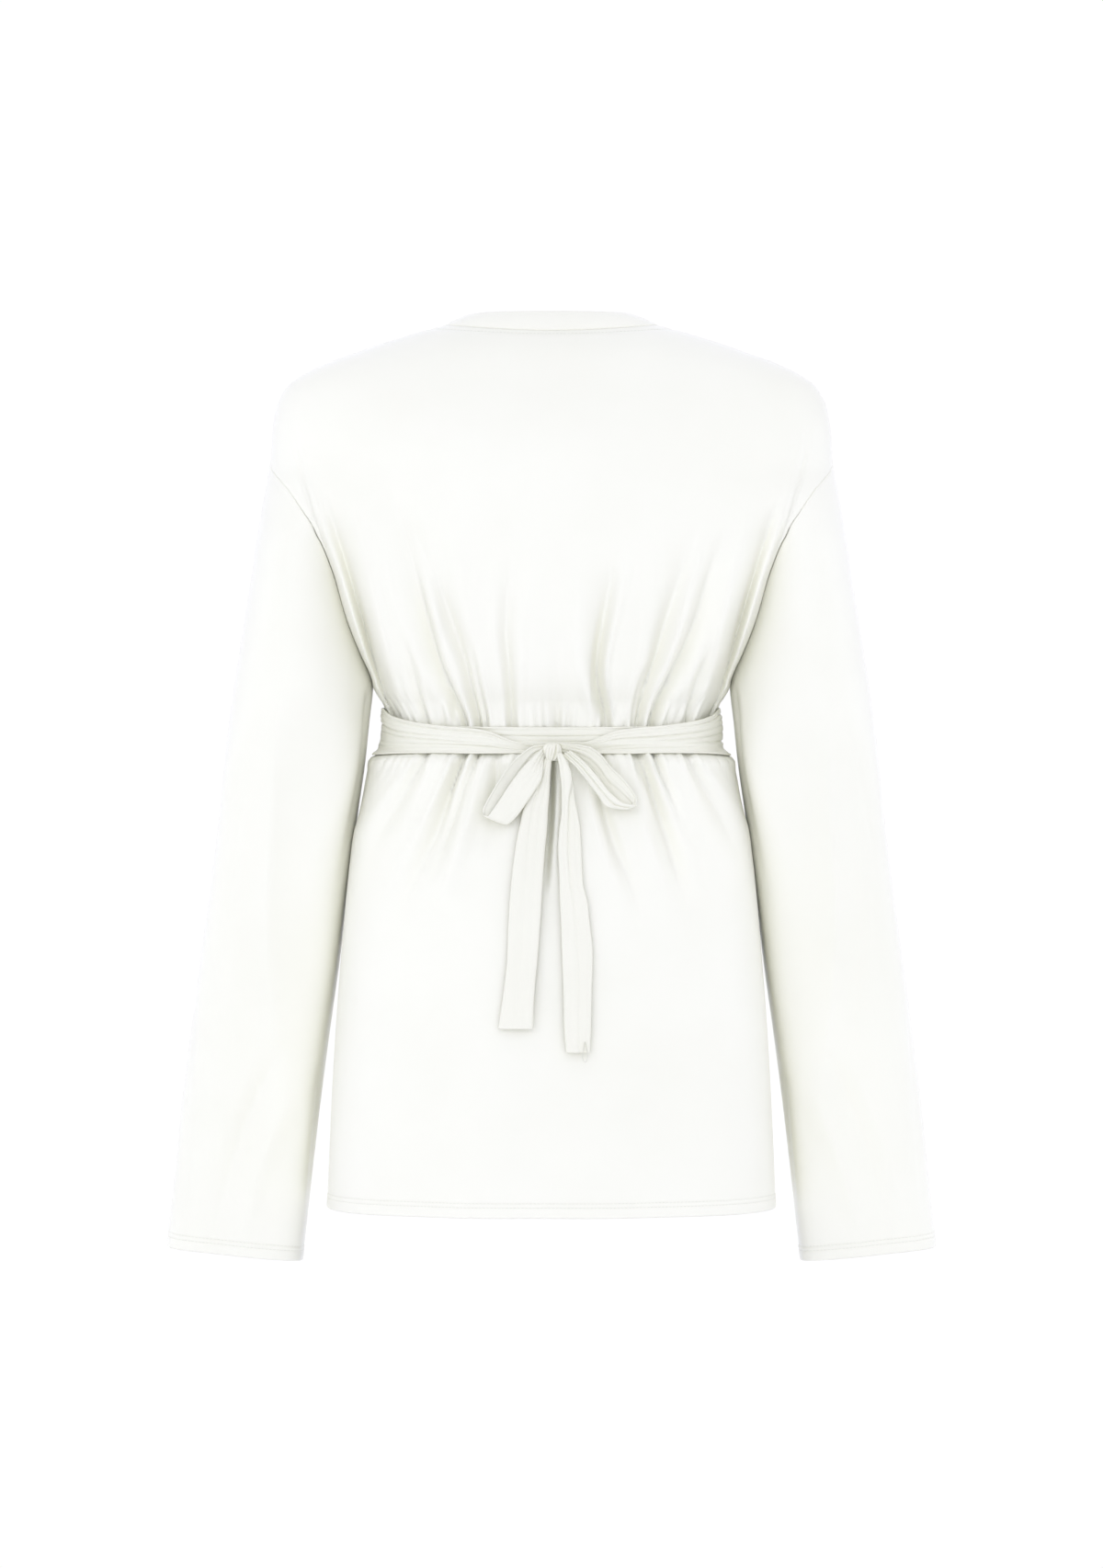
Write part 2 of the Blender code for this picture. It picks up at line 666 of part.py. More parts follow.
def band_rung(z, hand, inset):
    """Points of the band on a wrap front, from its seam to its free edge."""
    here, lower = wrap_edge(z), wrap_edge(z - 1)
    along = Vector((lower - here, -1)).normalized()
    inwards = Vector((-along.y, along.x))
    points = []
    for i in range(BAND_STEPS + 1):
        far = BAND_GAP + (BAND_WIDTH - BAND_GAP) * i / BAND_STEPS
        x, height = here + inwards.x * far, z + inwards.y * far
        height = min(height, 8.0)
        angle = angle_across(x, body_edge(height)[0])
        point = body_point(-hand * angle, height, -1, inset=sunk(angle, z, inset))
        points.append(point)
    return points


def turning_rung(z, hand, inset):
    """A rung beside the shoulder: its seam is on the wrap front, and its face turns up towards the neck's."""
    angle = angle_across(wrap_edge(z) + BAND_GAP, body_edge(z)[0])
    seam = body_point(-hand * angle, z, -1)
    lying = band_rung(BAND_TURNS_FROM, hand, inset)
    standing = neck_rung(0 if hand < 0 else math.pi)
    share = (z - BAND_TURNS_FROM) / (-3 - BAND_TURNS_FROM)
    return [seam + (a - lying[0]) * (1 - share) + (b - standing[0]) * share for a, b in zip(lying, standing)]


def neck_rung(angle):
    """Points of the band at the back neck, which stands and leans in, from its seam to its free edge."""
    round_it = angle - math.pi / 2
    seam = body_point(round_it, -3, 1, drop=BACK_NECK_DROP)
    seam.z += SEAM_GAP
    lean = Vector((seam.x * 0.78, seam.y - 10 * math.cos(round_it), 5.5))
    return [seam + (lean - seam) * i / BAND_STEPS for i in range(BAND_STEPS + 1)]


def main():
    clear_scene()
    jersey = cloth_material("ivory_jersey")
    tie = cloth_material("tie_jersey")
    back_panel(jersey)
    wrap_front("front_over", jersey, -1, 0.0)
    wrap_front("front_under", jersey, 1, LAYER_STEP)
    sleeve("sleeve_left", jersey, 1)
    sleeve("sleeve_right", jersey, -1)
    neckband(jersey)
    belt_stretch("tie_back_pass", BACK_PASS, tie, 32)
    belt_stretch("tie_wrap_left", LEFT_WRAP, tie, 42)
    belt_stretch("tie_wrap_right", RIGHT_WRAP, tie, 46)
    knot(tie)
    ribbon_from_rungs("bow_loop_left", LEFT_LOOP, tie, 24, flip=False)
    ribbon_from_rungs("bow_loop_right", RIGHT_LOOP, tie, 24, flip=True)
    tail("tie_tail_left", LEFT_TAIL, tie, 12)
    tail("tie_tail_right", RIGHT_TAIL, tie, 12)


main()
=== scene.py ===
"""A long-sleeved jersey wrap top, worn and hollow and tied behind in a bow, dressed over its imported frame.

Metres, +Z up. The front faces -Y and the wearer's left is +X. Tables are in millimetres, and MM turns
them into metres when a piece is made.
"""

import math

import bpy
import numpy as np
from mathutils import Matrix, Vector


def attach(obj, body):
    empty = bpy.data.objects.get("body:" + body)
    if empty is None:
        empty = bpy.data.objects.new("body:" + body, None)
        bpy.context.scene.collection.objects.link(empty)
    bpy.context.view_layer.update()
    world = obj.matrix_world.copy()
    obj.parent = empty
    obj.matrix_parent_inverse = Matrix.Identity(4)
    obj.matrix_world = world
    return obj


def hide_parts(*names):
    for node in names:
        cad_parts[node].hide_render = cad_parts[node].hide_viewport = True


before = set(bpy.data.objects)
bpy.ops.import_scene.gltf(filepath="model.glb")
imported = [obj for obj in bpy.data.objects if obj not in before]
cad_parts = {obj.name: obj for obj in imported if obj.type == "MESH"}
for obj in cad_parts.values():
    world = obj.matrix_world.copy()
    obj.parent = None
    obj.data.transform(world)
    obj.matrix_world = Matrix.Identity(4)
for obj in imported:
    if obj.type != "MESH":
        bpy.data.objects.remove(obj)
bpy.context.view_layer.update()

MM = 0.001
BACK, FRONT = 1, -1  # the half of the body that a point lies on


def table(columns, *rows):
    """A short table of numbers, as a dictionary from each column's name to its values."""
    return dict(zip(columns.split(), np.array(rows, float).T))


# Cloth
JERSEY_THICK = 1.0
HEM_THICK = 1.9  # two layers, where the edge is turned up
BAND_THICK = 1.7
TIE_THICK = 1.2
SQUARENESS = 2.35  # of the body's rings; 2 is a true ellipse
SLEEVE_SQUARENESS = 3.3  # of the sleeve's rings below the underarm
SLEEVE_CORNER = (1.6, 40, 30)  # how much squarer it is at its inner back corner; that turn; how far round
SLEEVE_SQUARED = 90.0  # how far below the underarm the sleeve reaches its full squareness

# Seams and hems
SEAM_GAP = 0.25  # between two pieces that are sewn together
ARMHOLE_TRIM = 0.5  # how far the back and the fronts stop short of a sleeve
SEAM_TUCK = 0.35  # how far a sleeve draws in at the armhole seam
HEM_TURN = 11.0  # depth of the turned-up hem and cuff
HEM_STANDS = 0.35  # how far the doubled edge stands out
TWIN_NEEDLE = 3.4  # between the two rows of a hem's stitching
STITCH_LONG, STITCH_PITCH, STITCH_WIDE = 2.3, 3.1, 0.34
STITCH_HIGH, STITCH_SUNK = 0.16, 0.05  # how far its middle stands off the cloth, and its ends sink in
STITCH_RINGS, STITCH_SIDES = 5, 6
STITCH_DENT, STITCH_DENT_WIDE = 0.5, 0.7  # how deep and wide a row of stitching draws the cloth in

# Heights that the cut depends on
SHOULDER = -3.0
SHOULDER_END = -113.0
UNDERARM = -302.0
BELT_MIDDLE = -340.0
WAIST = -346.0  # the ring that the belt lies on
HEM = -730.0
CUFF_OUTER, CUFF_INNER = -766.0, -779.0
BACK_NECK_DROP = 8.0
OVAL_FROM, OVAL_LONG = -228.0, 66.0  # where one broad oval starts to run over body and arms, and its fade

HEM_STITCHING = (HEM + HEM_TURN, HEM + HEM_TURN - TWIN_NEEDLE)

# Rows of the panels, down to where the rows of the hem start. Each row: from, to, step.
HEM_FROM = -640.0
BACK_ROWS = (
    (SHOULDER, -9, 1.0), (-9, SHOULDER_END, 6), (SHOULDER_END, UNDERARM, 5.6),
    (UNDERARM, -366, 3), (-366, -480, 4.6), (-480, HEM_FROM, 9),
)
FRONT_ROWS = (
    (-3.15, -6, 0.6), (-6, SHOULDER_END, 6), (SHOULDER_END, UNDERARM, 6),
    (UNDERARM, -366, 3.4), (-366, -500, 5), (-500, HEM_FROM, 9),
)
HEM_ROWS = (
    (HEM_FROM, HEM + HEM_TURN + 3, 6),
    (HEM + HEM_TURN + 3, HEM + HEM_TURN - TWIN_NEEDLE - 2, 0.7),
    (HEM + HEM_TURN - TWIN_NEEDLE - 2, HEM + 1.2, 1.6),
    (HEM + 1.2, HEM, 0.4),
)
# Rows of a cuff by their height above its edge, and rows of a sleeve above them by their share of the way.
CUFF_FROM = 18.0
CUFF_ROWS = (
    (CUFF_FROM, HEM_TURN + 2.5, 2.5),
    (HEM_TURN + 2.5, HEM_TURN - TWIN_NEEDLE - 2, 0.7),
    (HEM_TURN - TWIN_NEEDLE - 2, 1.2, 1.5),
    (1.2, 0, 0.4),
)
SLEEVE_ROWS = ((0, 0.012, 0.003), (0.012, 1, 0.0082))
BAND_LIES = -11.0  # from here down the neckband lies on the fronts
BAND_ROWS = ((BAND_LIES, -60, 3), (-60, -300, 5), (-300, -370, 4), (-370, HEM, 7))
BAND_TURN_ROWS = (-3.3, -10.2, 1.1)
# Columns, and places of the extra ones close to a panel's edges.
BACK_ACROSS, BACK_EDGE = 316, (0, 0.002, 0.005, 0.01)
FRONT_ACROSS, FRONT_EDGE = 200, (0, 0.003, 0.008, 0.015)
SLEEVE_ROUND, BAND_ACROSS, NECK_ROUND = 184, 14, 62
BELT_ACROSS, BELT_STEP = 73, 1.35  # BELT_STEP is in degrees round the waist
LOOP_ALONG, TIE_ACROSS = 150, 34
KNOT_RINGS, KNOT_ROUND = 44, 120

# Rings of the body. edge: the seam's distance from the middle; back, front: depth at the middle.
BODY = table(
    "z edge back front",
    (-3, 88, 47, 26),
    (-8, 107, 54, 36),
    (-17, 136.5, 62, 50),
    (-27, 165, 67.5, 59),
    (-36, 189.5, 71, 65),
    (-46, 208.5, 74.5, 71),
    (-55, 220, 78, 77),
    (-75, 228.5, 85, 91),
    (-97, 231.5, 91, 103),
    (-113, 232, 94, 111),
    (-138, 218, 97, 121),
    (-166, 198, 99, 129),
    (-181, 190, 99.5, 132),
    (-213, 177, 99, 135),
    (-249, 167, 96, 134),
    (-275, 157, 92.6, 129),
    (-293, 150.5, 90, 123),
    (-302, 147.6, 87.6, 118),
    (-310, 143.2, 84.2, 111),
    (-317, 138.8, 81, 105),
    (-326, 136.4, 80, 103.3),
    (-346, 136.2, 79.5, 103),
    (-354, 138.2, 80.3, 103.8),
    (-361, 147.6, 85.2, 107.6),
    (-368, 151.4, 88.4, 111.2),
    (-377, 153.4, 90.4, 112.8),
    (-386, 155, 92.2, 114.2),
    (-404, 158.5, 96, 116),
    (-421, 163, 99.5, 117.5),
    (-446, 166.5, 104.5, 119),
    (-481, 170, 110, 121),
    (-524, 173.5, 114.5, 123),
    (-580, 177.5, 118, 124.5),
    (-640, 181, 120, 125.5),
    (HEM, 185, 121, 126),
)

# Upper arm and sleeve. outer, inner: its two sides; depth: half its thickness; lag: its middle's Y.
ARM = table(
    "z outer inner depth lag",
    (-113, 232, 136, 46, 0),
    (-138, 236.5, 145, 58, 0),
    (-166, 241.5, 154.5, 65, 0),
    (-181, 244, 165, 66, 0),
    (-213, 248.7, 163, 64, 0),
    (-249, 254.4, 158, 61, 0),
    (-275, 258.5, 153, 59.5, 0),
    (-302, 262.8, 147.6, 58.5, 0),
    (-330, 266.9, 150.6, 57.5, -3),
    (-362, 270.6, 154.3, 56, -9),
    (-411, 275.8, 161.6, 53.5, -19),
    (-460, 282.4, 168.2, 51, -27),
    (-535, 293.5, 177.6, 48, -36),
    (-589, 300.8, 185.4, 45.5, -41),
    (-652, 308.7, 193.7, 42.5, -44),
    (-695, 313.1, 198.8, 40.5, -46),
    (-740, 318.2, 203.9, 38.5, -47),
    (-780, 322.3, 208.3, 38, -48),
)

# Armhole seam on the arm. turn: degrees round the arm from its inner side; z: the seam's height.
ARMHOLE = table(
    "turn z",
    (0, -302), (22.5, -275), (35.6, -249), (47.7, -213), (68.5, -181), (90, -166), (126, -138), (180, -113),
)

# Creases and ridges. Columns: path, x and z from the belt outwards; wide, half-width at its two ends; deep,
# depth at its start, at a third of its length and at its end; lean, above 0 where the side of higher x is
# the steeper.
BACK_CREASES = (
    (((101, -344), (104, -328), (109, -312), (115.6, -283), (121, -255)), (2.2, 6), (3, 2.4, 0), 0),
    (((88, -344), (88.5, -324), (91, -306)), (1.8, 3), (2, 1.2, 0), 0),
    (((80, -344), (80.5, -324), (84, -300)), (1.8, 3), (2, 1.0, 0), 0),
    (((69, -344), (73, -328), (81.5, -309), (94, -281), (104, -245), (112, -209), (124, -168), (133, -130)),
     (3.4, 14), (4.6, 5.2, 0), -0.2),
    (((58.7, -344), (60.5, -328), (65.2, -309), (72, -281), (85, -242), (100, -202), (118, -155)),
     (2.8, 12), (5, 4.8, 0), 0.25),
    (((53, -344), (54, -328), (57.7, -309), (62, -288), (67, -262)), (2.1, 5), (4, 3.2, 0), 0),
    (((32.7, -344), (33.2, -328), (34, -306), (35.8, -281), (37.5, -258), (36, -230), (32.5, -190)),
     (2.8, 9), (3.6, 3, 0), 0.2),
    (((-4.6, -344), (-4.6, -328), (-5, -312)), (1.8, 4), (2.4, 1.4, 0), 0),
    (((-4, -344), (-4, -300), (-2, -245)), (9, 18), (1.6, 1.6, 0), 0),
    (((-14.7, -344), (-14.7, -330), (-15, -316)), (1.4, 3), (1.6, 1, 0), 0),
    (((-46.5, -344), (-46, -328), (-42, -312), (-38.5, -292), (-40, -270), (-45, -238), (-52, -192)),
     (3.4, 11), (3.6, 6.4, 0), -0.45),
    (((-65.5, -344), (-66.5, -328), (-70.3, -306), (-76, -286)), (1.9, 4), (3.6, 2.4, 0), 0),
    (((-70.7, -344), (-72, -328), (-76.5, -306), (-86, -281), (-94, -252), (-105, -217), (-120, -165)),
     (2.4, 12), (4.8, 4.4, 0), -0.25),
    (((-79.3, -344), (-84, -325), (-92.8, -306), (-105, -283), (-119, -250), (-130, -209), (-143, -165)),
     (3, 13), (4.6, 5, 0), 0.15),
    (((-95, -344), (-95.5, -326), (-99, -308)), (1.7, 3), (2, 1.1, 0), 0),
    (((-110.5, -344), (-112, -330), (-116.8, -309), (-125, -283), (-130, -255)), (2.2, 6), (3, 2.4, 0), 0),
    # below the belt
    (((100, -345), (103, -358), (117, -381), (126, -396), (140, -420), (153, -450)),
     (2.4, 12), (3.2, 3, 0), 0.2),
    (((69.5, -345), (72, -358), (81.5, -379), (96.3, -421), (112, -458), (126, -500)),
     (3, 15), (5.4, 6, 0), 0.3),
    (((58.5, -345), (60, -358), (68.1, -374), (76, -397), (86, -424), (99, -462)),
     (2.5, 10), (5, 4.2, 0), 0.2),
    (((52.5, -345), (53.5, -358), (58, -369), (64, -392)), (1.8, 4.5), (3.4, 2.2, 0), 0),
    (((45, -350), (45, -375), (47, -402), (54, -440)), (6, 10), (2.6, 3.4, 0), 0),
    (((0, -350), (0.4, -375), (1.6, -410), (4, -445), (5, -472)), (2.6, 3.4), (6, 8, 0), 0),
    (((10, -350), (8, -375), (8, -420), (6, -465), (4, -520)), (7, 15), (1.4, 1.0, 0), 0),
    (((-65.5, -345), (-66, -358), (-70, -370), (-76, -392)), (1.8, 4.5), (3.4, 2.2, 0), 0),
    (((-70, -345), (-72, -358), (-81.1, -379), (-90, -405), (-101.5, -444), (-112, -492)),
     (2.9, 14), (5.4, 6, 0), -0.3),
    (((-81.5, -345), (-83.5, -358), (-92.3, -379), (-104, -410), (-114, -440)), (2.3, 8), (4, 3, 0), 0),
    (((-108.5, -345), (-111, -358), (-122.7, -377), (-141, -410), (-153, -445)),
     (2.4, 12), (3.2, 3, 0), -0.2),
    (((-38, -362), (-41, -395), (-52, -432), (-66, -466), (-76, -505)), (6, 10), (2.6, 4.2, 0), 0.3),
)
CREASE_DEEPER = 2.0  # the creases of the back and the fronts are this much deeper than in their tables
CREASE_NARROWER = 0.92  # and all creases and ridges this much narrower
CREASE_REACH = 4.5  # half-widths, past which a crease no longer shows
LIP_HIGH, LIP_AT, LIP_WIDE = 0.22, 2.2, 0.9  # the low lip beside a crease, in its depths and half-widths
BACK_RIDGES = (
    (((-31, -342), (-31, -305), (-33, -273), (-40, -238), (-47, -202)), (2.6, 6), (0.8, 1.9, 0), -0.35),
    (((62, -300), (74, -270), (89, -225), (104, -185)), (5, 9), (0.6, 1.6, 0), 0),
    (((-86, -300), (-99, -265), (-112, -220), (-126, -180)), (5, 9), (0.6, 1.6, 0), 0),
    (((-44, -385), (-52, -410), (-62, -440), (-72, -475)), (4, 7), (0.4, 2.2, 0), 0),
    (((60, -392), (72, -425), (84, -455), (97, -490)), (5, 10), (0.4, 2.6, 0), 0),
    (((-66, -400), (-80, -430), (-90, -460), (-98, -490)), (5, 9), (0.4, 2.2, 0), 0),
)
FRONT_CREASES = (
    (((100, -344), (106, -318), (116, -280), (128, -225)), (2.4, 9), (4, 3.6, 0), 0),
    (((88, -344), (90, -320), (95, -296)), (1.8, 4), (2.6, 1.6, 0), 0),
    (((78, -344), (79, -318), (83, -285), (88, -240)), (2.6, 8), (4, 3.4, 0), 0.2),
    (((60, -344), (61, -322), (64, -300)), (1.8, 4), (2.6, 1.6, 0), 0),
    (((49, -344), (51, -318), (57, -280), (66, -228), (72, -180)), (3, 12), (5.4, 5.2, 0), -0.2),
    (((24, -344), (25, -318), (28, -285), (33, -245)), (2.4, 7), (3.8, 3, 0), 0),
    (((8, -344), (8.5, -322), (10, -302)), (1.8, 4), (2.4, 1.4, 0), 0),
    (((-8, -344), (-7, -318), (-3, -275), (4, -225), (12, -170)), (3, 11), (5.2, 4.8, 0), 0.2),
    (((-36, -344), (-34, -318), (-29, -285), (-22, -240)), (2.5, 8), (4.2, 3.4, 0), 0),
    (((-50, -344), (-50, -320), (-47, -298)), (1.8, 4), (2.6, 1.6, 0), 0),
    (((-62, -344), (-62, -318), (-60, -275), (-55, -220), (-46, -160)), (3, 12), (5.6, 5.4, 0), -0.2),
    (((-78, -344), (-80, -322), (-84, -296)), (1.9, 4), (3, 1.8, 0), 0),
    (((-92, -344), (-96, -318), (-104, -280), (-114, -230)), (2.6, 9), (4, 3.6, 0), 0),
    (((-112, -344), (-115, -322), (-121, -295)), (1.9, 5), (2.6, 1.8, 0), 0),
    # below the belt
    (((100, -345), (104, -362), (114, -396), (128, -450)), (2.6, 10), (4.2, 3.6, 0), 0),
    (((78, -345), (81, -362), (89, -400), (99, -445), (108, -500)), (3, 12), (5, 4.6, 0), 0.2),
    (((63, -345), (65, -362), (69, -392)), (1.9, 5), (3, 2, 0), 0),
    (((49, -345), (51, -364), (56, -405), (63, -455)), (2.8, 10), (4.6, 4, 0), 0),
    (((24, -345), (25, -364), (29, -410), (33, -460), (36, -520)), (3, 13), (5.4, 5.2, 0), -0.2),
    (((8, -345), (8, -362), (7, -388)), (1.9, 5), (2.8, 1.8, 0), 0),
    (((-8, -345), (-9, -362), (-11, -400), (-13, -455)), (2.6, 9), (4.2, 3.6, 0), 0),
    (((-36, -345), (-38, -364), (-43, -410), (-49, -460), (-54, -515)), (3, 13), (5.6, 5.4, 0), 0.2),
    (((-50, -345), (-53, -362), (-58, -390)), (1.9, 5), (3, 2, 0), 0),
    (((-62, -345), (-66, -362), (-75, -400), (-88, -455)), (2.8, 10), (4.6, 4, 0), 0),
    (((-92, -345), (-96, -362), (-108, -405), (-122, -480)), (2.8, 12), (4.4, 4, 0), 0),
    (((-112, -345), (-117, -362), (-129, -395), (-142, -440)), (2.4, 9), (3.4, 2.8, 0), 0),
)
FRONT_RIDGES = (
    (((34, -300), (40, -262), (48, -215), (55, -165)), (5, 10), (0.6, 1.5, 0), 0),
    (((-46, -300), (-42, -255), (-34, -205), (-24, -150)), (5, 10), (0.6, 1.5, 0), 0),
    (((-22, -385), (-26, -430), (-30, -490)), (6, 10), (0.6, 1.6, 0), 0),
)
# Each side has one long deep fold from the end of the shoulder to the belt, and a tight crease beside it.
SIDE_SHARES = {BACK: 1.0, FRONT: 0.6}  # of its full depth, behind and in front
SIDE_CREASES = (
    (((129, -330), (136, -312), (143, -290), (154, -249), (166.5, -205), (175.5, -175), (184, -140)),
     (3.7, 7.8), (8, 18, 0), 0.36),
    (((184, -190), (190.6, -171), (199, -142), (207, -113), (213, -88)), (1.6, 3), (2.2, 2.2, 0), 0.2),
)
# Fine gathers close to the belt, between the creases.
GATHER = {"apart": 7.4, "deep": 3.4, "above": 14.0, "below": 18.0, "fan": 0.0055}
GATHER_SHIFTS = ((19, 2.6), (6.1, 1.1))  # length and size of the waves that space them unevenly

# Long shallow waves that the skirt hangs in, growing from below the belt to the hem. Columns: at, x at the
# hem; wide; high, how far it stands out there.
WAVES_FROM, WAVES_LONG = -400.0, 230.0
BACK_WAVES = (
    (-148, 26, 1.6), (-96, 30, -2.2), (-38, 26, 1.5), (8, 24, -1.2),
    (60, 28, 1.7), (112, 28, -2.2), (155, 24, 1.4),
)
FRONT_WAVES = (
    (-150, 28, -1.6), (-104, 26, 2.2), (-52, 30, -2.4), (2, 28, 2.2),
    (54, 26, -2.0), (108, 30, 2.4), (154, 24, -1.4),
)

# Creases of a sleeve. path: turn round the arm in degrees, z. The back lies at 90 and the front at 270.
SLEEVE_CALM = 25.0  # how far below the armhole seam they reach their full depth
SLEEVE_CREASES = (
    (((20, -312), (26, -350), (34, -400), (42, -460), (46, -530)), (5, 15), (2.5, 3.2, 0), 0),
    (((66, -590), (88, -650), (100, -705), (106, -752)), (10, 9), (0, 2.0, 0.6), 0.3),
    (((120, -330), (128, -390), (132, -455), (130, -520)), (10, 16), (0.5, 1.8, 0), 0),
    (((150, -560), (146, -620), (140, -680), (138, -745)), (10, 12), (0, 1.8, 1.2), 0),
    (((40, -610), (30, -660), (26, -720)), (7, 9), (0, 2, 0.8), 0),
    (((210, -330), (222, -380), (236, -425), (246, -480)), (8, 10), (0, 2.8, 0), 0.2),
    (((318, -330), (300, -372), (284, -410), (262, -440)), (6, 8), (2.4, 3, 0), 0),
    (((330, -372), (310, -410), (288, -446), (270, -490)), (6, 9), (1.8, 3.2, 0), 0.2),
    (((246, -520), (254, -580), (250, -640), (244, -700)), (8, 12), (0, 2.6, 0.6), 0),
    (((300, -540), (308, -610), (312, -680), (308, -745)), (8, 10), (0, 2.4, 1), 0),
    (((205, -600), (198, -660), (200, -730)), (9, 10), (0, 2, 1), 0),
)
SLEEVE_RIDGES = (
    (((106, -330), (103, -371), (98, -440), (93, -500), (78, -575), (62, -640), (56, -700)),
     (10, 13), (0.8, 3, 0), 0.2),
    (((60, -640), (74, -700), (82, -750)), (6, 6), (0, 1.5, 0.6), 0),
    (((268, -500), (276, -580), (280, -660), (276, -740)), (10, 12), (0, 2, 1.2), 0),
)

# Wrap fronts and neckband
NECK_SIDE = 88.0
WRAP_AT_WAIST = 92.0
WRAP_AT_HEM = 118.0
WRAP_CURVE = 1.3  # above 1 the edge is hollow, and the V wider
LAYER_STEP = 5.0  # how far the under front lies inside the over one
UNDER_BAND_STEP = 7.4  # and how far its band does
UNDER_SINKS = 140.0  # how far down from the shoulder it has sunk that far
BAND_WIDTH = 22.0
BAND_GAP = 0.8
NECK_TOP = 5.5
NECK_LEANS, NECK_DRAWN_IN, NECK_CURL = 10.0, 0.78, 1.3  # the back neck's band: in at the top, and bowed
NECK_SEAM_DENT, NECK_SEAM_WIDE = 0.2, 0.9
NECK_STITCH_DENT = 0.7

# The belt's stretches. round: degrees from the middle back to the wearer's left; lift: off the cloth.
BACK_PASS = table(
    "round top bottom lift",
    (-110, -331, -352, 2.4),
    (-90, -332, -354, 2.4),
    (0, -336, -357, 1.8),
    (90, -332, -354, 2.4),
)
LEFT_WRAP = table(
    "round top bottom lift",
    (5, -351, -356, 4.0),
    (12, -347.5, -356.5, 4.2),
    (23, -338, -357, 5.2),
    (38, -334.5, -356.5, 5.2),
    (51, -331, -356.5, 4.8),
    (64, -326.4, -357, 4.2),
    (80, -320, -357.5, 4.2),
    (92, -319, -353, 4.2),
    (106, -319, -343, 4.2),
    (117, -319, -337, 4.2),
    (140, -321, -337, 3.4),
    (155, -324, -350, 3.0),
    (180, -328, -357, 3.0),
    (236, -330, -357, 3.0),
)
RIGHT_WRAP = table(
    "round top bottom lift",
    (-5, -351, -356, 4.0),
    (-12, -347.5, -356.5, 4.2),
    (-23, -338, -357, 5.2),
    (-38, -334.5, -356.5, 5.2),
    (-51, -331, -356.5, 4.8),
    (-64, -326.4, -357, 4.2),
    (-80, -320, -358, 4.2),
    (-100, -319, -358, 4.4),
    (-150, -322, -356, 6.0),
    (-180, -322, -352, 6.0),
    (-202, -327, -354, 6.0),
    (-218, -338.5, -357, 6.0),
    (-229, -339, -357, 4.0),
    (-242, -339, -357, 2.6),
    (-260, -337, -356, 2.4),
)
# Pleats along a belt stretch. Columns: near and far, its place across it at its start and its end, 0 at the
# top edge; deep; wide.
STRAND_PLEATS = (
    (0.12, 0.1, 1.3, 0.7),
    (0.24, 0.17, 0.9, 0.6),
    (0.37, 0.33, 1.4, 0.8),
    (0.55, 0.42, 1.0, 0.7),
    (0.7, 0.66, 1.5, 0.8),
    (0.8, 0.83, 0.9, 0.6),
)
PASS_PLEATS = ((0.13, 0.11, 0.7, 0.6), (0.3, 0.36, 0.8, 0.6), (0.6, 0.52, 0.6, 0.6), (0.8, 0.84, 0.8, 0.7))
PLEAT_OVERLAP, PLEAT_FADE = 0.45, 3.2  # each pleat lies over the cloth below it: by how much, how far down
BELT_FULL = 26.0  # width at which its pleats have their full depth
BELT_ROLL = 0.5  # how far its middle rises and falls
BELT_EDGE_DROP, BELT_SEAM_DENT, BELT_SEAM_AT = 0.7, 0.4, 1.9  # its rounded edge and the line beside it
BELT_TIGHT_FOOT, BELT_TIGHT_HEAD = 0.8, 0.25  # shares of its lift that it loses at its two edges
BELT_FLARE = 3.0  # how far below a point of the belt the cloth lies that it rests on, at the lower edge
BELT_PUFF, BELT_PUFF_AT, BELT_PUFF_WIDE = 2.8, 5.0, 5.5  # the cloth's swelling just below the belt
PRESS_FADE, PRESSED_FLAT, PRESSED_IN = 5.0, 0.75, 0.6  # what the belt does to the cloth under it

# Bow and ends. Each row is a rung of the ribbon: x, z of one edge, x, z of the other, and how far
# each edge stands off the back of the belt.
LEFT_LOOP = table(
    "x1 z1 off1 x2 z2 off2",
    (3, -350, 9, 2, -358, 8),
    (14, -351.2, 11, 8.5, -362, 10),
    (25, -358, 13, 14.5, -374, 13.5),
    (34.3, -367.5, 15, 20.5, -389, 17.5),
    (42, -378.5, 17.5, 27.5, -402, 20),
    (50.8, -393.5, 20, 33, -410, 22),
    (55.3, -402.5, 22.4, 38, -414.6, 23.4),
    (55.5, -407, 25, 36, -415.4, 25),
    (52, -408, 26.6, 32.5, -413.2, 26.4),
    (43.4, -397.5, 27.4, 27.4, -407.5, 27),
    (36, -386, 27, 20.5, -397.5, 27.6),
    (28.6, -375.5, 26, 12.8, -386, 27),
    (21.4, -366.6, 24, 7.6, -376, 25.6),
    (14, -359.2, 21, 6.2, -367, 22),
    (7.5, -353.6, 17, 5.5, -361, 17.5),
)
RIGHT_LOOP = table(
    "x1 z1 off1 x2 z2 off2",
    (-7.5, -349.2, 9, -9, -356.5, 8),
    (-18.5, -349.6, 12, -18.5, -359.5, 9),
    (-30, -351.5, 14.5, -28.5, -366.5, 12),
    (-39.6, -357.5, 16.5, -37.5, -376.5, 15),
    (-48.4, -368.5, 18, -44.5, -389, 17.6),
    (-60, -380, 19.6, -53.5, -396.5, 20),
    (-69, -394, 22, -62.5, -402, 22),
    (-69, -399.4, 25, -57, -403, 24),
    (-58.6, -397.6, 26.6, -44.5, -400.6, 25.4),
    (-47.6, -389.5, 27.4, -36.2, -390, 25.8),
    (-36.8, -376.5, 27, -27.5, -378.5, 25),
    (-25.5, -363.6, 24.4, -17.6, -366.8, 22.6),
    (-15, -354.6, 18.5, -8.5, -358.6, 17.5),
)
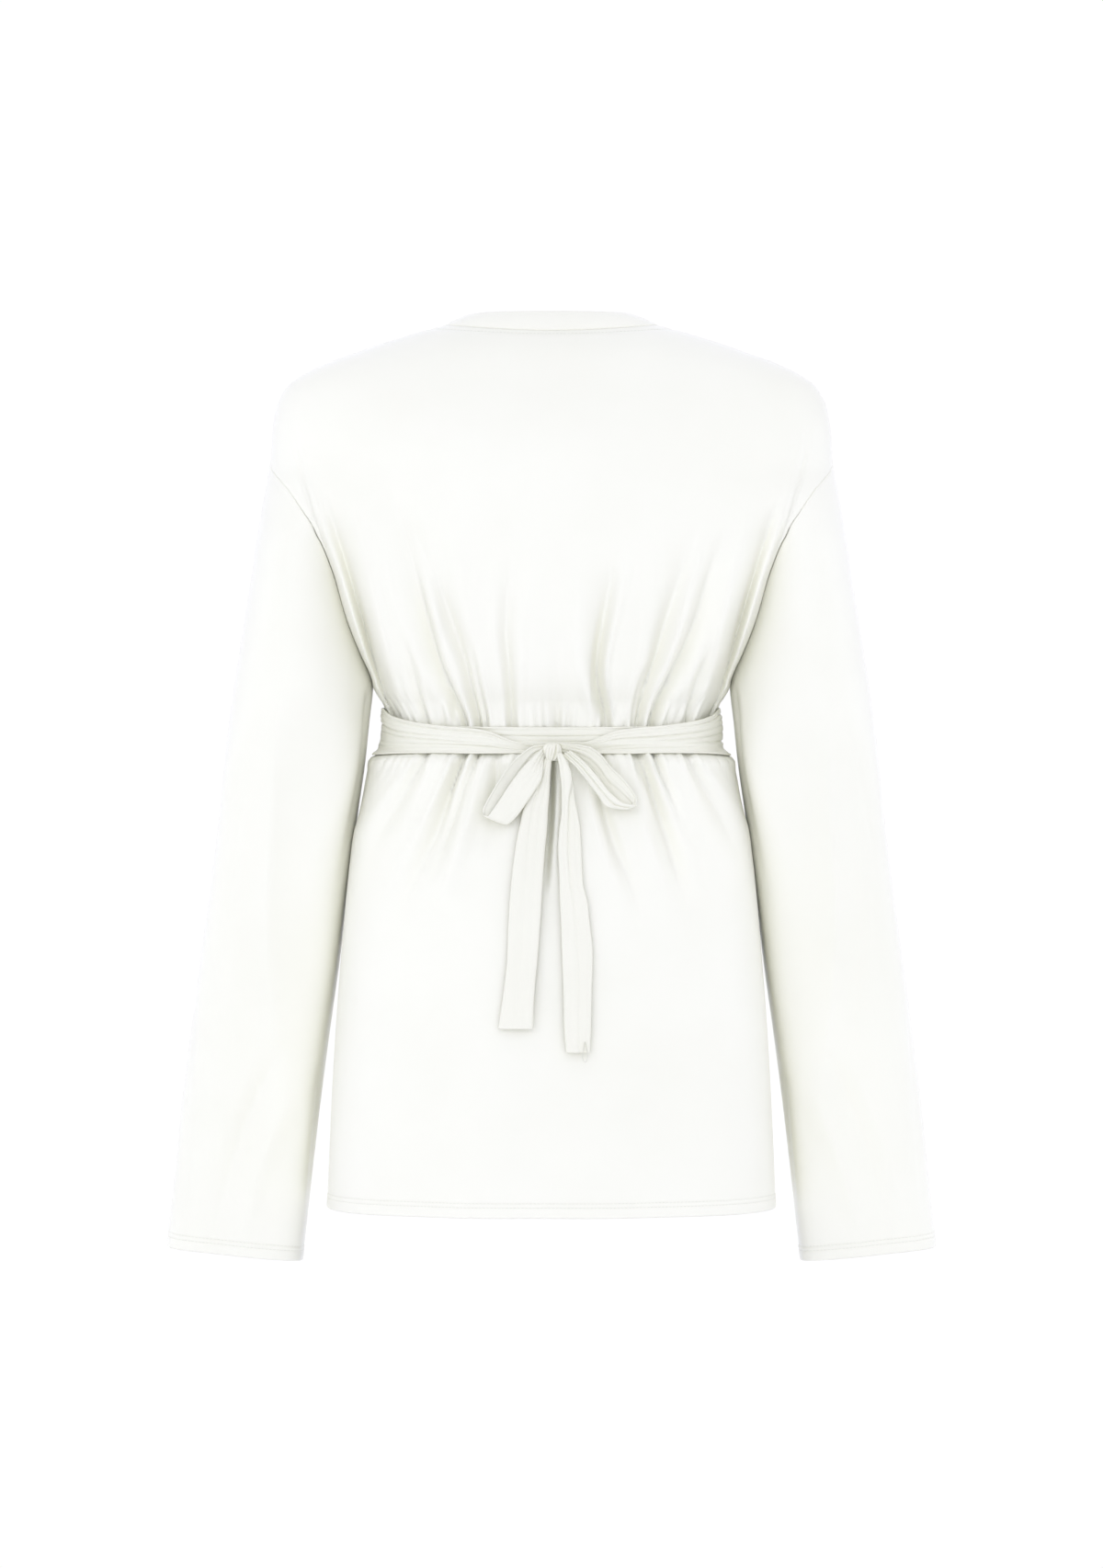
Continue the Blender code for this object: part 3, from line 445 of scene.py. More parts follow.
# Creases along a loop. Columns: place across it, depth at the knot, depth at the tip, half-width.
LEFT_LOOP_FOLDS = ((0.3, 1.4, 0.1, 0.05), (0.55, 1.7, 0.15, 0.06), (0.8, 1.3, 0.1, 0.05))
RIGHT_LOOP_FOLDS = ((0.46, 1.8, 1.6, 0.06), (0.22, 1.2, 0.1, 0.05), (0.78, 1.2, 0.1, 0.05))
LOOP_BELLY, TAIL_BELLY, TIE_EDGE_DROP, TIE_EDGE_WIDE = 0.9, 0.5, 0.7, 0.9
# Ends. x1, x2: the two edges; off: how far they stand off the skirt.
LEFT_TAIL = table(
    "z x1 x2 off",
    (-361, 5.8, -0.2, 9),
    (-376.5, 11.7, 1.3, 8),
    (-387.5, 16.9, 1.7, 7),
    (-402.5, 22.8, 2.8, 5.5),
    (-417, 25.8, 3.5, 4.5),
    (-432, 28.7, 5, 4),
    (-461.5, 32.3, 7.2, 4.4),
    (-491, 34.5, 9, 5.2),
    (-520.5, 35.6, 11.2, 6),
    (-550, 38.7, 13.8, 6.8),
    (-578, 42.8, 15.3, 7.4),
)
RIGHT_TAIL = table(
    "z x1 x2 off",
    (-356.5, -3.9, -9.8, 15),
    (-364, -5.8, -13.5, 14),
    (-373, -6.9, -16.1, 13),
    (-387.5, -8.3, -18, 11),
    (-402.5, -8.3, -20.5, 8.5),
    (-417, -6.5, -23, 6),
    (-432, -5.4, -23.8, 5),
    (-461.5, -6.5, -25.3, 4.8),
    (-476, -6.8, -28.6, 5.2),
    (-491, -7.6, -30.4, 5.6),
    (-520.5, -8.5, -33, 6.4),
    (-550, -9.6, -32.1, 7),
    (-579.5, -10.3, -31.5, 7.6),
    (-597, -11.8, -30.6, 8),
)
# Folds down an end. Columns: path, z and place across it; deep, of its groove; wide; step, how far the
# cloth beyond it lies back.
LEFT_TAIL_FOLDS = (
    (((-361, 0.4), (-400, 0.36), (-450, 0.42), (-578, 0.5)), 0.7, 0.05, 0.4),
    (((-361, 0.75), (-410, 0.7), (-480, 0.74), (-578, 0.7)), 0.5, 0.05, -0.3),
)
RIGHT_TAIL_FOLDS = (
    (((-356, 0.8), (-374, 1.02), (-380, 0.96), (-392, 0.6),
      (-404, 0.42), (-430, 0.4), (-490, 0.5), (-597, 0.55)),
     0.9, 0.05, 2.4),
    (((-356, 0.3), (-400, 0.2), (-450, 0.22), (-597, 0.25)), 0.5, 0.05, 0.3),
    (((-356, 0.9), (-430, 0.75), (-500, 0.8), (-597, 0.82)), 0.4, 0.05, -0.3),
)
KNOT_CENTRE = (-0.8, 13.5, -356.2)  # x, distance off the back of the belt, z
KNOT_RADII = (8.0, 7.0, 7.2)
# Folds over the knot. Columns: at, degrees round it, 90 being its outermost side; deep, share of its
# radius; wide, degrees.
KNOT_FOLDS = (
    (34, 0.2, 7), (60, 0.2, 5), (86, 0.22, 5), (112, 0.5, 7), (140, 0.24, 7), (220, 0.1, 10), (300, 0.1, 10),
)
KNOT_FOLD_SLANT = 13.0  # degrees by which a fold swings round between the knot's middle and its ends
THREAD_LOOP = (-26.9, -596.6, 5.4, 16, 0.6)  # x, z, width, height and thickness of the loop of thread

# The maker's cut. Columns: piece, node, slot; flat, its width and length in metres; area, in square metres
# where it is less than the whole of that; held; what it rests on.
CUT = (
    ("back_panel_cloth", "back_panel", "jersey", (0.56, 0.75), 0.385, "hung", ["neckband_cloth"]),
    ("front_over_cloth", "front_over", "jersey", (0.5, 0.75), 0.25, "hung", ["neckband_cloth"]),
    ("front_under_cloth", "front_under", "jersey", (0.5, 0.75), 0.25, "hung", ["neckband_cloth"]),
    ("sleeve_left_cloth", "sleeve_left", "jersey", (0.39, 0.66), 0.22, "hung", ["back_panel_cloth"]),
    ("sleeve_right_cloth", "sleeve_right", "jersey", (0.39, 0.66), 0.22, "hung", ["back_panel_cloth"]),
    ("neckband_cloth", "neckband", "jersey", (0.0242, 1.95), None, "stretched",
     ["back_panel_cloth", "front_over_cloth"]),
    ("back_pass_cloth", "tie_back_pass", "tie_jersey", (0.028, 0.34), None, "gathered", ["back_panel_cloth"]),
    ("wrap_left_cloth", "tie_wrap_left", "tie_jersey", (0.028, 0.5), None, "gathered",
     ["back_panel_cloth", "front_under_cloth"]),
    ("wrap_right_cloth", "tie_wrap_right", "tie_jersey", (0.028, 0.56), None, "gathered",
     ["back_panel_cloth", "front_over_cloth"]),
    ("bow_knot_cloth", "bow_knot", "tie_jersey", (0.014, 0.036), None, "folded", ["back_pass_cloth"]),
    ("loop_left_cloth", "bow_loop_left", "tie_jersey", (0.015, 0.16), None, "folded", ["bow_knot_cloth"]),
    ("loop_right_cloth", "bow_loop_right", "tie_jersey", (0.015, 0.16), None, "folded", ["bow_knot_cloth"]),
    ("tail_left_cloth", "tie_tail_left", "tie_jersey", (0.024, 0.22), None, "hung", ["bow_knot_cloth"]),
    ("tail_right_cloth", "tie_tail_right", "tie_jersey", (0.021, 0.24), None, "hung", ["bow_knot_cloth"]),
)

# Colours, and the width and height of one knitted stitch in metres
# The second colour of each jersey is painted shade, laid between its knitted stitches where they shade each
# other.
IVORY, IVORY_PAINTED_SHADE = (0.842, 0.84, 0.71, 1), (0.757, 0.753, 0.62, 1)
TIE_IVORY, TIE_PAINTED_SHADE = (0.81, 0.807, 0.67, 1), (0.71, 0.705, 0.56, 1)
THREAD_DARK, THREAD_LIGHT = (0.62, 0.62, 0.5, 1), (0.74, 0.74, 0.62, 1)
FLOOR_DARK, FLOOR_LIGHT = (0.9, 0.9, 0.9, 1), (0.93, 0.93, 0.93, 1)
FADED = (0.975, 0.975, 0.965, 1)  # what the slow changes of tone multiply the jersey by, at most
BODY_STITCH, TIE_STITCH = (0.0009, 0.0008), (0.0008, 0.0009)

# Camera and light, in metres. FIELD_HIGH is the height that the camera sees at the garment.
CAMERA_FAR, CAMERA_HIGH, FIELD_HIGH = 4.0, -0.382, 1.2966
SENSOR = 36
FLOOR_HIGH, FLOOR_RADIUS = -1.45, 2.4
LIGHT_AIM = (0, 0, -0.4)
# Softboxes. Columns: name, place, size, watts.
LIGHTS = (
    ("overhead_softbox", (0, 2.4, 2.0), 1.6, 2),
    ("key_softbox", (2.3, 2.6, 0.5), 0.9, 7.5),
    ("left_softbox", (3.35, 0, 0.19), 1.3, 17),
    ("right_softbox", (-3.35, 0, 0.19), 1.3, 21),
    ("front_left_softbox", (2.94, -1.7, -0.4), 1.3, 5),
    ("front_right_softbox", (-2.94, -1.7, -0.4), 1.3, 5),
)
LIGHT_COLOUR = (0.978, 0.984, 1.14)
# The room's walls before and behind the garment, and its ceiling. Columns: axis and sign, the way it lies;
# glow; tight, the higher the narrower the glow is. ROOM_GLOW is the glow all round.
ROOM_SIDES = (("Y", 1, 1.8, 6.0), ("Y", -1, 1.0, 2.0), ("Z", 1, 0.5, 2.0))
ROOM_GLOW = 0.57
BACKDROP_WHITE = 1.02


def studio():
    """Camera, soft lights and a plain pale floor."""
    lens = bpy.data.cameras.new("camera")
    lens.sensor_fit = "VERTICAL"
    lens.sensor_height = SENSOR
    lens.lens = SENSOR * CAMERA_FAR / FIELD_HIGH
    camera = bpy.data.objects.new("camera", lens)
    camera.location = (0, CAMERA_FAR, CAMERA_HIGH)
    camera.rotation_euler = (math.radians(90), 0, math.radians(180))
    bpy.context.scene.collection.objects.link(camera)
    bpy.context.scene.camera = camera
    for name, place, size, watts in LIGHTS:
        lamp = bpy.data.lights.new(name, "AREA")
        lamp.shape = "SQUARE"
        lamp.size, lamp.energy = size, watts
        lamp.color = LIGHT_COLOUR
        light = bpy.data.objects.new(name, lamp)
        light.location = place
        aim = Vector(LIGHT_AIM) - Vector(place)
        light.rotation_euler = aim.to_track_quat("-Z", "Y").to_euler()
        bpy.context.scene.collection.objects.link(light)
    bpy.context.scene.world = white_room()
    bpy.context.scene.view_settings.view_transform = "Standard"
    bpy.ops.object.select_all(action="DESELECT")
    bpy.ops.mesh.primitive_circle_add(
        vertices=96, radius=FLOOR_RADIUS, fill_type="NGON", location=(0, 0, FLOOR_HIGH)
    )
    floor = bpy.context.object
    floor.name = "floor"
    bpy.ops.object.transform_apply(location=True)
    floor.data.materials.append(floor_material())


def white_room():
    """Pale glowing walls before and behind the garment and a ceiling; the camera sees plain white."""
    world = bpy.data.worlds.new("white_room")
    world.use_nodes = True
    patch = Patch(world.node_tree)
    room = world.node_tree.nodes["Background"]
    room.inputs["Color"].default_value = (*LIGHT_COLOUR, 1)
    towards, split = patch.add("ShaderNodeTexCoord"), patch.add("ShaderNodeSeparateXYZ")
    patch.join(towards.outputs["Generated"], split.inputs[0])
    total = ROOM_GLOW
    for axis, sign, glow, tight in ROOM_SIDES:
        facing = patch.math("MAXIMUM", patch.math("MULTIPLY", split.outputs[axis], sign), 0.0)
        total = patch.math("ADD", total, patch.math("MULTIPLY", patch.math("POWER", facing, tight), glow))
    patch.join(total, room.inputs["Strength"])
    white = patch.add("ShaderNodeBackground")
    white.inputs["Color"].default_value = (1, 1, 1, 1)
    white.inputs["Strength"].default_value = BACKDROP_WHITE
    ray, pick = patch.add("ShaderNodeLightPath"), patch.add("ShaderNodeMixShader")
    patch.join(ray.outputs["Is Camera Ray"], pick.inputs[0])
    patch.join(room.outputs[0], pick.inputs[1])
    patch.join(white.outputs[0], pick.inputs[2])
    patch.join(pick.outputs[0], world.node_tree.nodes["World Output"].inputs["Surface"])
    return world


# ---------------------------------------------------------------- smooth curves


def smooth(t):
    """Rises gently from 0 where t is 0 or less to 1 where it is 1 or more."""
    t = np.clip(t, 0, 1)
    return t * t * (3 - 2 * t)


def hump(away, wide):
    """1 in the middle of a hump or a dent, and almost 0 two widths away from it."""
    return np.exp(-((away / wide) ** 2))


def lookup(rows, column, at):
    """The column's value at places along the table's first column, on a smooth curve through its rows."""
    places = next(iter(rows.values()))
    order = np.argsort(places)
    places, values = places[order], rows[column][order]
    at = np.clip(np.asarray(at, float), places[0], places[-1])
    spans = np.diff(places)
    rises = np.diff(values) / spans
    slopes = np.empty(len(places))
    slopes[0], slopes[-1] = rises[0], rises[-1]
    product = rises[:-1] * rises[1:]
    total = rises[:-1] + rises[1:]
    slopes[1:-1] = np.where(product > 0, 2 * product / np.where(total == 0, 1, total), 0)
    i = np.clip(np.searchsorted(places, at, side="right") - 1, 0, len(places) - 2)
    t = (at - places[i]) / spans[i]
    t2, t3 = t * t, t * t * t
    return (
        values[i] * (2 * t3 - 3 * t2 + 1)
        + values[i + 1] * (3 * t2 - 2 * t3)
        + slopes[i] * spans[i] * (t3 - 2 * t2 + t)
        + slopes[i + 1] * spans[i] * (t3 - t2)
    )


def curve_through(points):
    """A smooth line through the points, with eight steps from each to the next."""
    points = np.array(points, float)
    padded = np.vstack((2 * points[0] - points[1], points, 2 * points[-1] - points[-2]))
    line = []
    for k in range(len(points) - 1):
        a, b, c, d = padded[k : k + 4]
        for t in np.arange(8) / 8:
            bend, twist = 2 * a - 5 * b + 4 * c - d, 3 * b - a - 3 * c + d
            line.append(0.5 * (2 * b + (c - a) * t + bend * t**2 + twist * t**3))
    line.append(points[-1])
    return np.array(line)


def levels(*spans):
    """Heights from one span to the next, each span with its own step."""
    places = []
    for start, end, step in spans:
        count = max(1, round(abs(end - start) / step))
        places += list(np.linspace(start, end, count, endpoint=False))
    return np.array(places + [spans[-1][1]])


# ---------------------------------------------------------------- creases


def along_line(line, u, v):
    """(distance from the line, share of its length there, side of it) for each point u, v."""
    closest = np.full(u.shape, np.inf)
    along, side = np.zeros(u.shape), np.ones(u.shape)
    lengths = np.hypot(*np.diff(line, axis=0).T)
    starts = np.concatenate(([0], np.cumsum(lengths)))
    for k, (a, b) in enumerate(zip(line, line[1:])):
        step = b - a
        share = np.clip(((u - a[0]) * step[0] + (v - a[1]) * step[1]) / (step @ step), 0, 1)
        du, dv = u - a[0] - step[0] * share, v - a[1] - step[1] * share
        gap = du * du + dv * dv
        closer = gap < closest
        closest = np.where(closer, gap, closest)
        along = np.where(closer, (starts[k] + lengths[k] * share) / starts[-1], along)
        side = np.where(closer, np.sign(step[0] * dv - step[1] * du), side)
    return np.sqrt(closest), along, side


def creased(across, z, creases):
    """Depth of the creases at each point, measured inwards."""
    total = np.zeros(np.broadcast(across, z).shape)
    across, z = np.broadcast_to(across, total.shape), np.broadcast_to(z, total.shape)
    for path, wide, deep, lean in creases:
        line = curve_through(path)
        first, last = (w * CREASE_NARROWER for w in wide)
        reach = CREASE_REACH * max(first, last)
        (left, low), (right, high) = line.min(0) - reach, line.max(0) + reach
        near = (across > left) & (across < right) & (z > low) & (z < high)
        if not near.any():
            continue
        away, along, side = along_line(line, across[near], z[near])
        rising = 1 if line[-1][1] > line[0][1] else -1
        away = away / ((first + (last - first) * along**1.4) * (1 + side * rising * lean))
        middle = 0.62 * deep[1] + 0.38 * deep[2]
        profile = table("along deep", (0, deep[0]), (0.3, deep[1]), (0.66, middle), (1, deep[2]))
        # it is sharp at its start and rounder towards its end
        groove = np.exp(-(away ** (1.15 + 0.6 * along))) - LIP_HIGH * hump(away - LIP_AT, LIP_WIDE)
        total[near] += lookup(profile, "deep", along) * groove
    return total


def belt_edges(degrees):
    """(top, bottom) of the belt at each angle from the middle back."""
    turn = np.abs(degrees)
    top = np.maximum(lookup(BACK_PASS, "top", turn), lookup(LEFT_WRAP, "top", turn))
    return top, lookup(LEFT_WRAP, "bottom", turn)


def gathered(x, z, top, bottom):
    """Depth of the fine gathers, which fan out and die away above and below the belt."""
    away = np.maximum(z - top, 0) + np.maximum(bottom - z, 0)
    reach = np.where(z > top, GATHER["above"], GATHER["below"])
    place = x / (1 + GATHER["fan"] * away)
    shifted = place
    for long, size in GATHER_SHIFTS:
        shifted = shifted + size * np.sin(place / long)
    groove = (1 - np.abs(np.sin(math.pi * shifted / GATHER["apart"]))) ** 1.8
    uneven = 0.55 + 0.45 * np.sin(place / 13.0 + 1.0) * np.sin(place / 5.3)
    return GATHER["deep"] * uneven * groove * np.exp(-((away / reach) ** 1.4))


def waved(x, z, waves):
    """How far the skirt's long shallow waves stand out, growing from below the belt to the hem."""
    out = np.zeros(np.broadcast(x, z).shape)
    grown = smooth((WAVES_FROM - z) / WAVES_LONG)
    for at, wide, high in waves:
        # they spread a little on their way down
        out += high * grown * hump(x - at * (0.9 + 0.1 * grown), wide)
    return out


# ---------------------------------------------------------------- the body's form


def bulge(angle, square=SQUARENESS):
    """How far a squared ring stands out from a round one at this angle."""
    return (np.abs(np.sin(angle)) ** square + np.abs(np.cos(angle)) ** square) ** (-1 / square)


def angle_across(x, half_width):
    """The angle on a squared ring at which it lies x from the middle."""
    share = np.clip(x / half_width, -1, 1)
    angle = np.arcsin(share)
    for _ in range(12):
        angle = np.arcsin(np.clip(share / bulge(angle), -1, 1))
    return angle


def arm_point(z, turn):
    """Points of the upper arm or sleeve. turn is in degrees from its inner side, by the back."""
    z, turn = np.broadcast_arrays(np.asarray(z, float), np.asarray(turn, float))
    outer, inner, depth, lag = (lookup(ARM, column, z) for column in ("outer", "inner", "depth", "lag"))
    middle, half, angle = (outer + inner) / 2, (outer - inner) / 2, np.radians(turn)
    squarer, corner, wide = SLEEVE_CORNER
    square = SLEEVE_SQUARENESS + squarer * hump(turn % 360 - corner, wide)
    fuller = bulge(angle, 2 + (square - 2) * smooth((UNDERARM - z) / SLEEVE_SQUARED))
    return np.stack((middle - half * np.cos(angle) * fuller, lag + depth * np.sin(angle) * fuller, z), -1)


def armhole_height(turn):
    """Height of the armhole seam at a turn round the arm, the same at the back and at the front."""
    turn = np.abs(turn)
    return lookup(ARMHOLE, "z", np.where(turn <= 180, turn, 360 - turn))


# The armhole seam's height at many turns, from which body_edge finds the turn at a height.
SEAM_TURNS = np.linspace(0, 180, 3001)
SEAM_HEIGHTS = armhole_height(SEAM_TURNS)


def body_edge(z):
    """(x, depth) of the shoulder, armhole or side seam at each height."""
    seam = arm_point(z, np.interp(z, SEAM_HEIGHTS, SEAM_TURNS))
    on_arm = (z > UNDERARM) & (z < SHOULDER_END)
    return np.where(on_arm, seam[..., 0], lookup(BODY, "edge", z)), np.where(on_arm, seam[..., 1], 0.0)


def middle_depth(z, side):
    """Depth of the body's ring at the middle of its back or its front."""
    return lookup(BODY, "back" if side == BACK else "front", z)


def ring_depth(x, half_width):
    """Depth of a squared ring at x, as a share of its depth at the middle."""
    return np.maximum(0.0, 1 - np.abs(x / half_width) ** SQUARENESS) ** (1 / SQUARENESS)


def body_ring(angle, z, side):
    """(x, y) on the body's ring at an angle from the middle of its back or its front."""
    edge, edge_depth = body_edge(z)
    middle = middle_depth(z, side)
    x = edge * np.sin(angle) * bulge(angle)
    y = edge_depth + (middle - edge_depth) * np.cos(angle) * bulge(angle)
    # from above the underarm one broad oval runs over the body and the upper arms
    share = smooth((z - OVAL_FROM) / OVAL_LONG) * (z < SHOULDER_END)
    broad = lookup(ARM, "outer", z)
    broad_y = middle * ring_depth(x, broad)
    broad_y = broad_y + (edge_depth - middle * ring_depth(edge, broad)) * np.abs(x / edge) ** 4
    return x, side * (y + (broad_y - y) * share)


def relief(x, z, side, angle):
    """How far the cloth lies outside its ring: creases and ridges at the waist, waves at the hem."""
    degrees = np.degrees(angle)
    if side == BACK:
        creases, ridges, waves = BACK_CREASES, BACK_RIDGES, BACK_WAVES
    else:
        creases, ridges, waves = FRONT_CREASES, FRONT_RIDGES, FRONT_WAVES
        degrees = 180 - np.abs(degrees)
    top, bottom = belt_edges(degrees)
    out = creased(x, z, ridges) - creased(x, z, creases) * CREASE_DEEPER - gathered(x, z, top, bottom)
    out = out + BELT_PUFF * hump(bottom - BELT_PUFF_AT - z, BELT_PUFF_WIDE)
    # the belt presses the creases nearly flat under it
    pressed = smooth((top - 1 - z) / PRESS_FADE) * smooth((z - bottom - 1) / PRESS_FADE)
    out = (out + waved(x, z, waves)) * (1 - PRESSED_FLAT * pressed) - PRESSED_IN * pressed
    # and they end at the seams
    return out * smooth((math.pi / 2 - np.abs(angle)) / 0.05)


def body_points(angle, z, side, inset=0.0, drop=0.0):
    """Points of the body's cloth. inset moves them inwards; drop lowers the row towards the middle."""
    x, y = body_ring(angle, z, side)
    edge, _ = body_edge(z)
    out = np.stack((x / edge**2, y / middle_depth(z, side) ** 2), -1)
    out = out / np.linalg.norm(out, axis=-1, keepdims=True)
    push = relief(x, z, side, angle) - inset
    y = y - side * SIDE_SHARES[side] * creased(np.abs(x), z, SIDE_CREASES)
    return np.stack((x + out[..., 0] * push, y + out[..., 1] * push, z - drop * np.cos(angle) ** 2), -1)


# ---------------------------------------------------------------- making cloth


def directions(points, ring):
    """Unit vectors out of the surface, at each point of its grid."""
    if ring:
        across = np.roll(points, -1, 1) - np.roll(points, 1, 1)
    else:
        across = np.gradient(points, axis=1)
    down = np.gradient(points, axis=0)
    out = np.cross(across, down)
    return out / np.maximum(np.linalg.norm(out, axis=-1, keepdims=True), 1e-9)


def flat_pattern(points, ring):
    """Where each point lies in the flat piece, in metres: u across from the middle, v down from the top."""
    if ring:
        points = np.concatenate((points, points[:, :1]), 1)
    across = np.linalg.norm(np.diff(points, axis=1), axis=-1)
    u = np.concatenate((np.zeros((len(points), 1)), np.cumsum(across, 1)), 1)
    u = u - u[:, [u.shape[1] // 2]]
    down = np.linalg.norm(np.diff(points, axis=0), axis=-1).mean(1)
    v = np.concatenate(([0], np.cumsum(down)))[:, None] + np.zeros_like(u)
    return np.stack((u, -v), -1) * MM


def off_the_edge(outer, r, c, ring):
    """Unit vectors that point off the panel, at the edge points in rows r and columns c."""
    rows, columns = outer.shape[:2]
    away = np.zeros((len(r), 3))
    for hit, inside in ((r == 0, 1), (r == rows - 1, -1)):
        away += hit[:, None] * (outer[r, c] - outer[np.clip(r + inside, 0, rows - 1), c])
    if not ring:
        for hit, inside in ((c == 0, 1), (c == columns - 1, -1)):
            away += hit[:, None] * (outer[r, c] - outer[r, np.clip(c + inside, 0, columns - 1)])
    return away / np.maximum(np.linalg.norm(away, axis=1, keepdims=True), 1e-9)


def cloth(name, outer, thick, material, ring=False, flip=False):
    """A closed shell of cloth with rounded edges, from the grid of its outer face in millimetres."""
    rows, columns = outer.shape[:2]
    thick = np.broadcast_to(thick, (rows, columns))[..., None]
    inner = outer - directions(outer, ring) * thick * (-1 if flip else 1)
    pattern = flat_pattern(outer, ring)
    number = np.arange(rows * columns).reshape(rows, columns)
    wrap = np.concatenate((number, number[:, :1]), 1) if ring else number
    i, j = np.meshgrid(np.arange(rows - 1), np.arange(wrap.shape[1] - 1), indexing="ij")
    corners = [(i, j), (i, j + 1), (i + 1, j + 1), (i + 1, j)]
    faces = np.stack([wrap[c] for c in corners], -1).reshape(-1, 4)
    places = np.stack([pattern[c] for c in corners], -2).reshape(-1, 4, 2)
    last = wrap.shape[1] - 1
    top = [(0, k) for k in range(wrap.shape[1])]
    foot = [(rows - 1, k) for k in range(last, -1, -1)]
    if ring:
        edges = [top, foot]
    else:
        edges = [top + [(k, last) for k in range(1, rows)] + foot[1:] + [(k, 0) for k in range(rows)][-2::-1]]
    skins = [faces, faces[:, ::-1] + rows * columns]
    patterns = [places, places[:, ::-1]]
    points = [outer.reshape(-1, 3), inner.reshape(-1, 3)]
    made = 2 * rows * columns
    for edge in edges:
        r, c = np.array(edge).T
        c = c % columns if ring else c
        # a rim stands just off the middle of the edge, and rounds it
        rim = (outer[r, c] + inner[r, c]) / 2 + off_the_edge(outer, r, c, ring) * thick[r, c] * 0.45
        points.append(rim[:-1])
        on_rim = made + np.arange(len(edge) - 1)
        on_rim = np.append(on_rim, on_rim[0])
        made += len(edge) - 1
        on_outer = number[r, c]
        on_inner = on_outer + rows * columns
        spot = pattern[tuple(np.array(edge).T)]
        for a, b in ((on_outer, on_rim), (on_rim, on_inner)):
            skins.append(np.stack((a[1:], a[:-1], b[:-1], b[1:]), -1))
            patterns.append(np.stack((spot[1:], spot[:-1], spot[:-1], spot[1:]), -2))
    faces, places = np.concatenate(skins), np.concatenate(patterns)
    if flip:
        faces, places = faces[:, ::-1], places[:, ::-1]
    return new_mesh(name, np.concatenate(points), faces.tolist(), material, places)


def new_mesh(name, points, faces, material, places=None):
    """A smooth mesh object, from points in millimetres, with the flat pattern as its UV map."""
    mesh = bpy.data.meshes.new(name)
    mesh.from_pydata((np.asarray(points) * MM).tolist(), [], faces)
    mesh.shade_smooth()
    if places is not None:
        layer = mesh.uv_layers.new(name="flat_pattern")
        layer.data.foreach_set("uv", np.ascontiguousarray(places, dtype=np.float32).ravel())
    mesh.materials.append(material)
    piece = bpy.data.objects.new(name, mesh)
    bpy.context.scene.collection.objects.link(piece)
    return piece


def edge_spaced(count, fine):
    """Places from 0 to 1 for the columns of a panel, with extra ones close to both edges."""
    even = np.linspace(0, 1, count)
    close = np.array(fine)
    middle = even[(even > close[-1] + 0.3 / count) & (even < 1 - close[-1] - 0.3 / count)]
    return np.concatenate((close, middle, 1 - close[::-1]))


def stitches(name, line, out, material):
    """A row of short thread stitches that lie along a line of points on the cloth."""
    steps = np.linalg.norm(np.diff(line, axis=0), axis=1)
    along = np.concatenate(([0], np.cumsum(steps)))
    points, faces = [], []

    def at(distance):
        """(point, direction out) at a distance along the line."""
        spot = np.array([np.interp(distance, along, line[:, k]) for k in range(3)])
        face = np.array([np.interp(distance, along, out[:, k]) for k in range(3)])
        return spot, face / np.linalg.norm(face)

    for number in range(int(along[-1] // STITCH_PITCH)):
        start = (number + 0.5) * STITCH_PITCH - STITCH_LONG / 2
        first = len(points)
        for ring in range(STITCH_RINGS):
            share = ring / (STITCH_RINGS - 1)
            spot, face = at(start + STITCH_LONG * share)
            ahead, _ = at(start + STITCH_LONG * share + 0.2)
            tangent = ahead - spot
            tangent /= max(np.linalg.norm(tangent), 1e-9)
            aside = np.cross(face, tangent)
            arch = math.sin(math.pi * (0.04 + 0.92 * share))
            thin = STITCH_WIDE / 2 * (0.35 + 0.65 * arch**0.5)
            centre = spot + face * (STITCH_HIGH * arch - STITCH_SUNK)
            for k in range(STITCH_SIDES):
                a = 2 * math.pi * k / STITCH_SIDES
                points.append(centre + (aside * math.cos(a) + face * math.sin(a)) * thin)
        rings = np.arange(first, len(points)).reshape(STITCH_RINGS, STITCH_SIDES)
        faces += tube_faces(rings)
        faces += [tuple(rings[0, ::-1].tolist()), tuple(rings[-1].tolist())]
    return new_mesh(name, points, faces, material)


def tube_faces(rings):
    """Faces between one ring of point numbers and the next."""
    beside = np.roll(rings, -1, 1)
    return np.stack((rings[:-1], beside[:-1], beside[1:], rings[1:]), -1).reshape(-1, 4).tolist()


# ---------------------------------------------------------------- panels


def hem_shape(z, edge_z):
    """(how far a turned-up edge stands out, how thick it is) at each distance above the edge."""
    above = z - edge_z
    rows = hump(above - HEM_TURN, STITCH_DENT_WIDE) + hump(above - HEM_TURN + TWIN_NEEDLE, STITCH_DENT_WIDE)
    doubled = smooth((HEM_TURN + 0.6 - above) / 1.2)
    return HEM_STANDS * doubled - STITCH_DENT * rows, JERSEY_THICK + (HEM_THICK - JERSEY_THICK) * doubled


def pushed(points, amount, flip=False):
    """The points moved out of their surface by an amount each."""
    out = directions(points, False) * (-1 if flip else 1)
    return points + out * np.asarray(amount)[..., None]


def seam_stop(z, side):
    """The angle at which a panel stops, short of its side seam or of the sleeve that it meets."""
    _, edge_depth = body_edge(z)
    short = np.where((z >= UNDERARM) & (z < SHOULDER_END), ARMHOLE_TRIM, SEAM_GAP / 2)
    return math.pi / 2 - short / np.maximum(20.0, middle_depth(z, side) - edge_depth)


def stitch_rows(points, out, z, heights):
    """(line, directions out) of each row of stitching on a panel."""
    rows = [int(np.argmin(np.abs(z - height))) for height in heights]
    return [(points[i, 2:-2], out[i, 2:-2]) for i in rows]


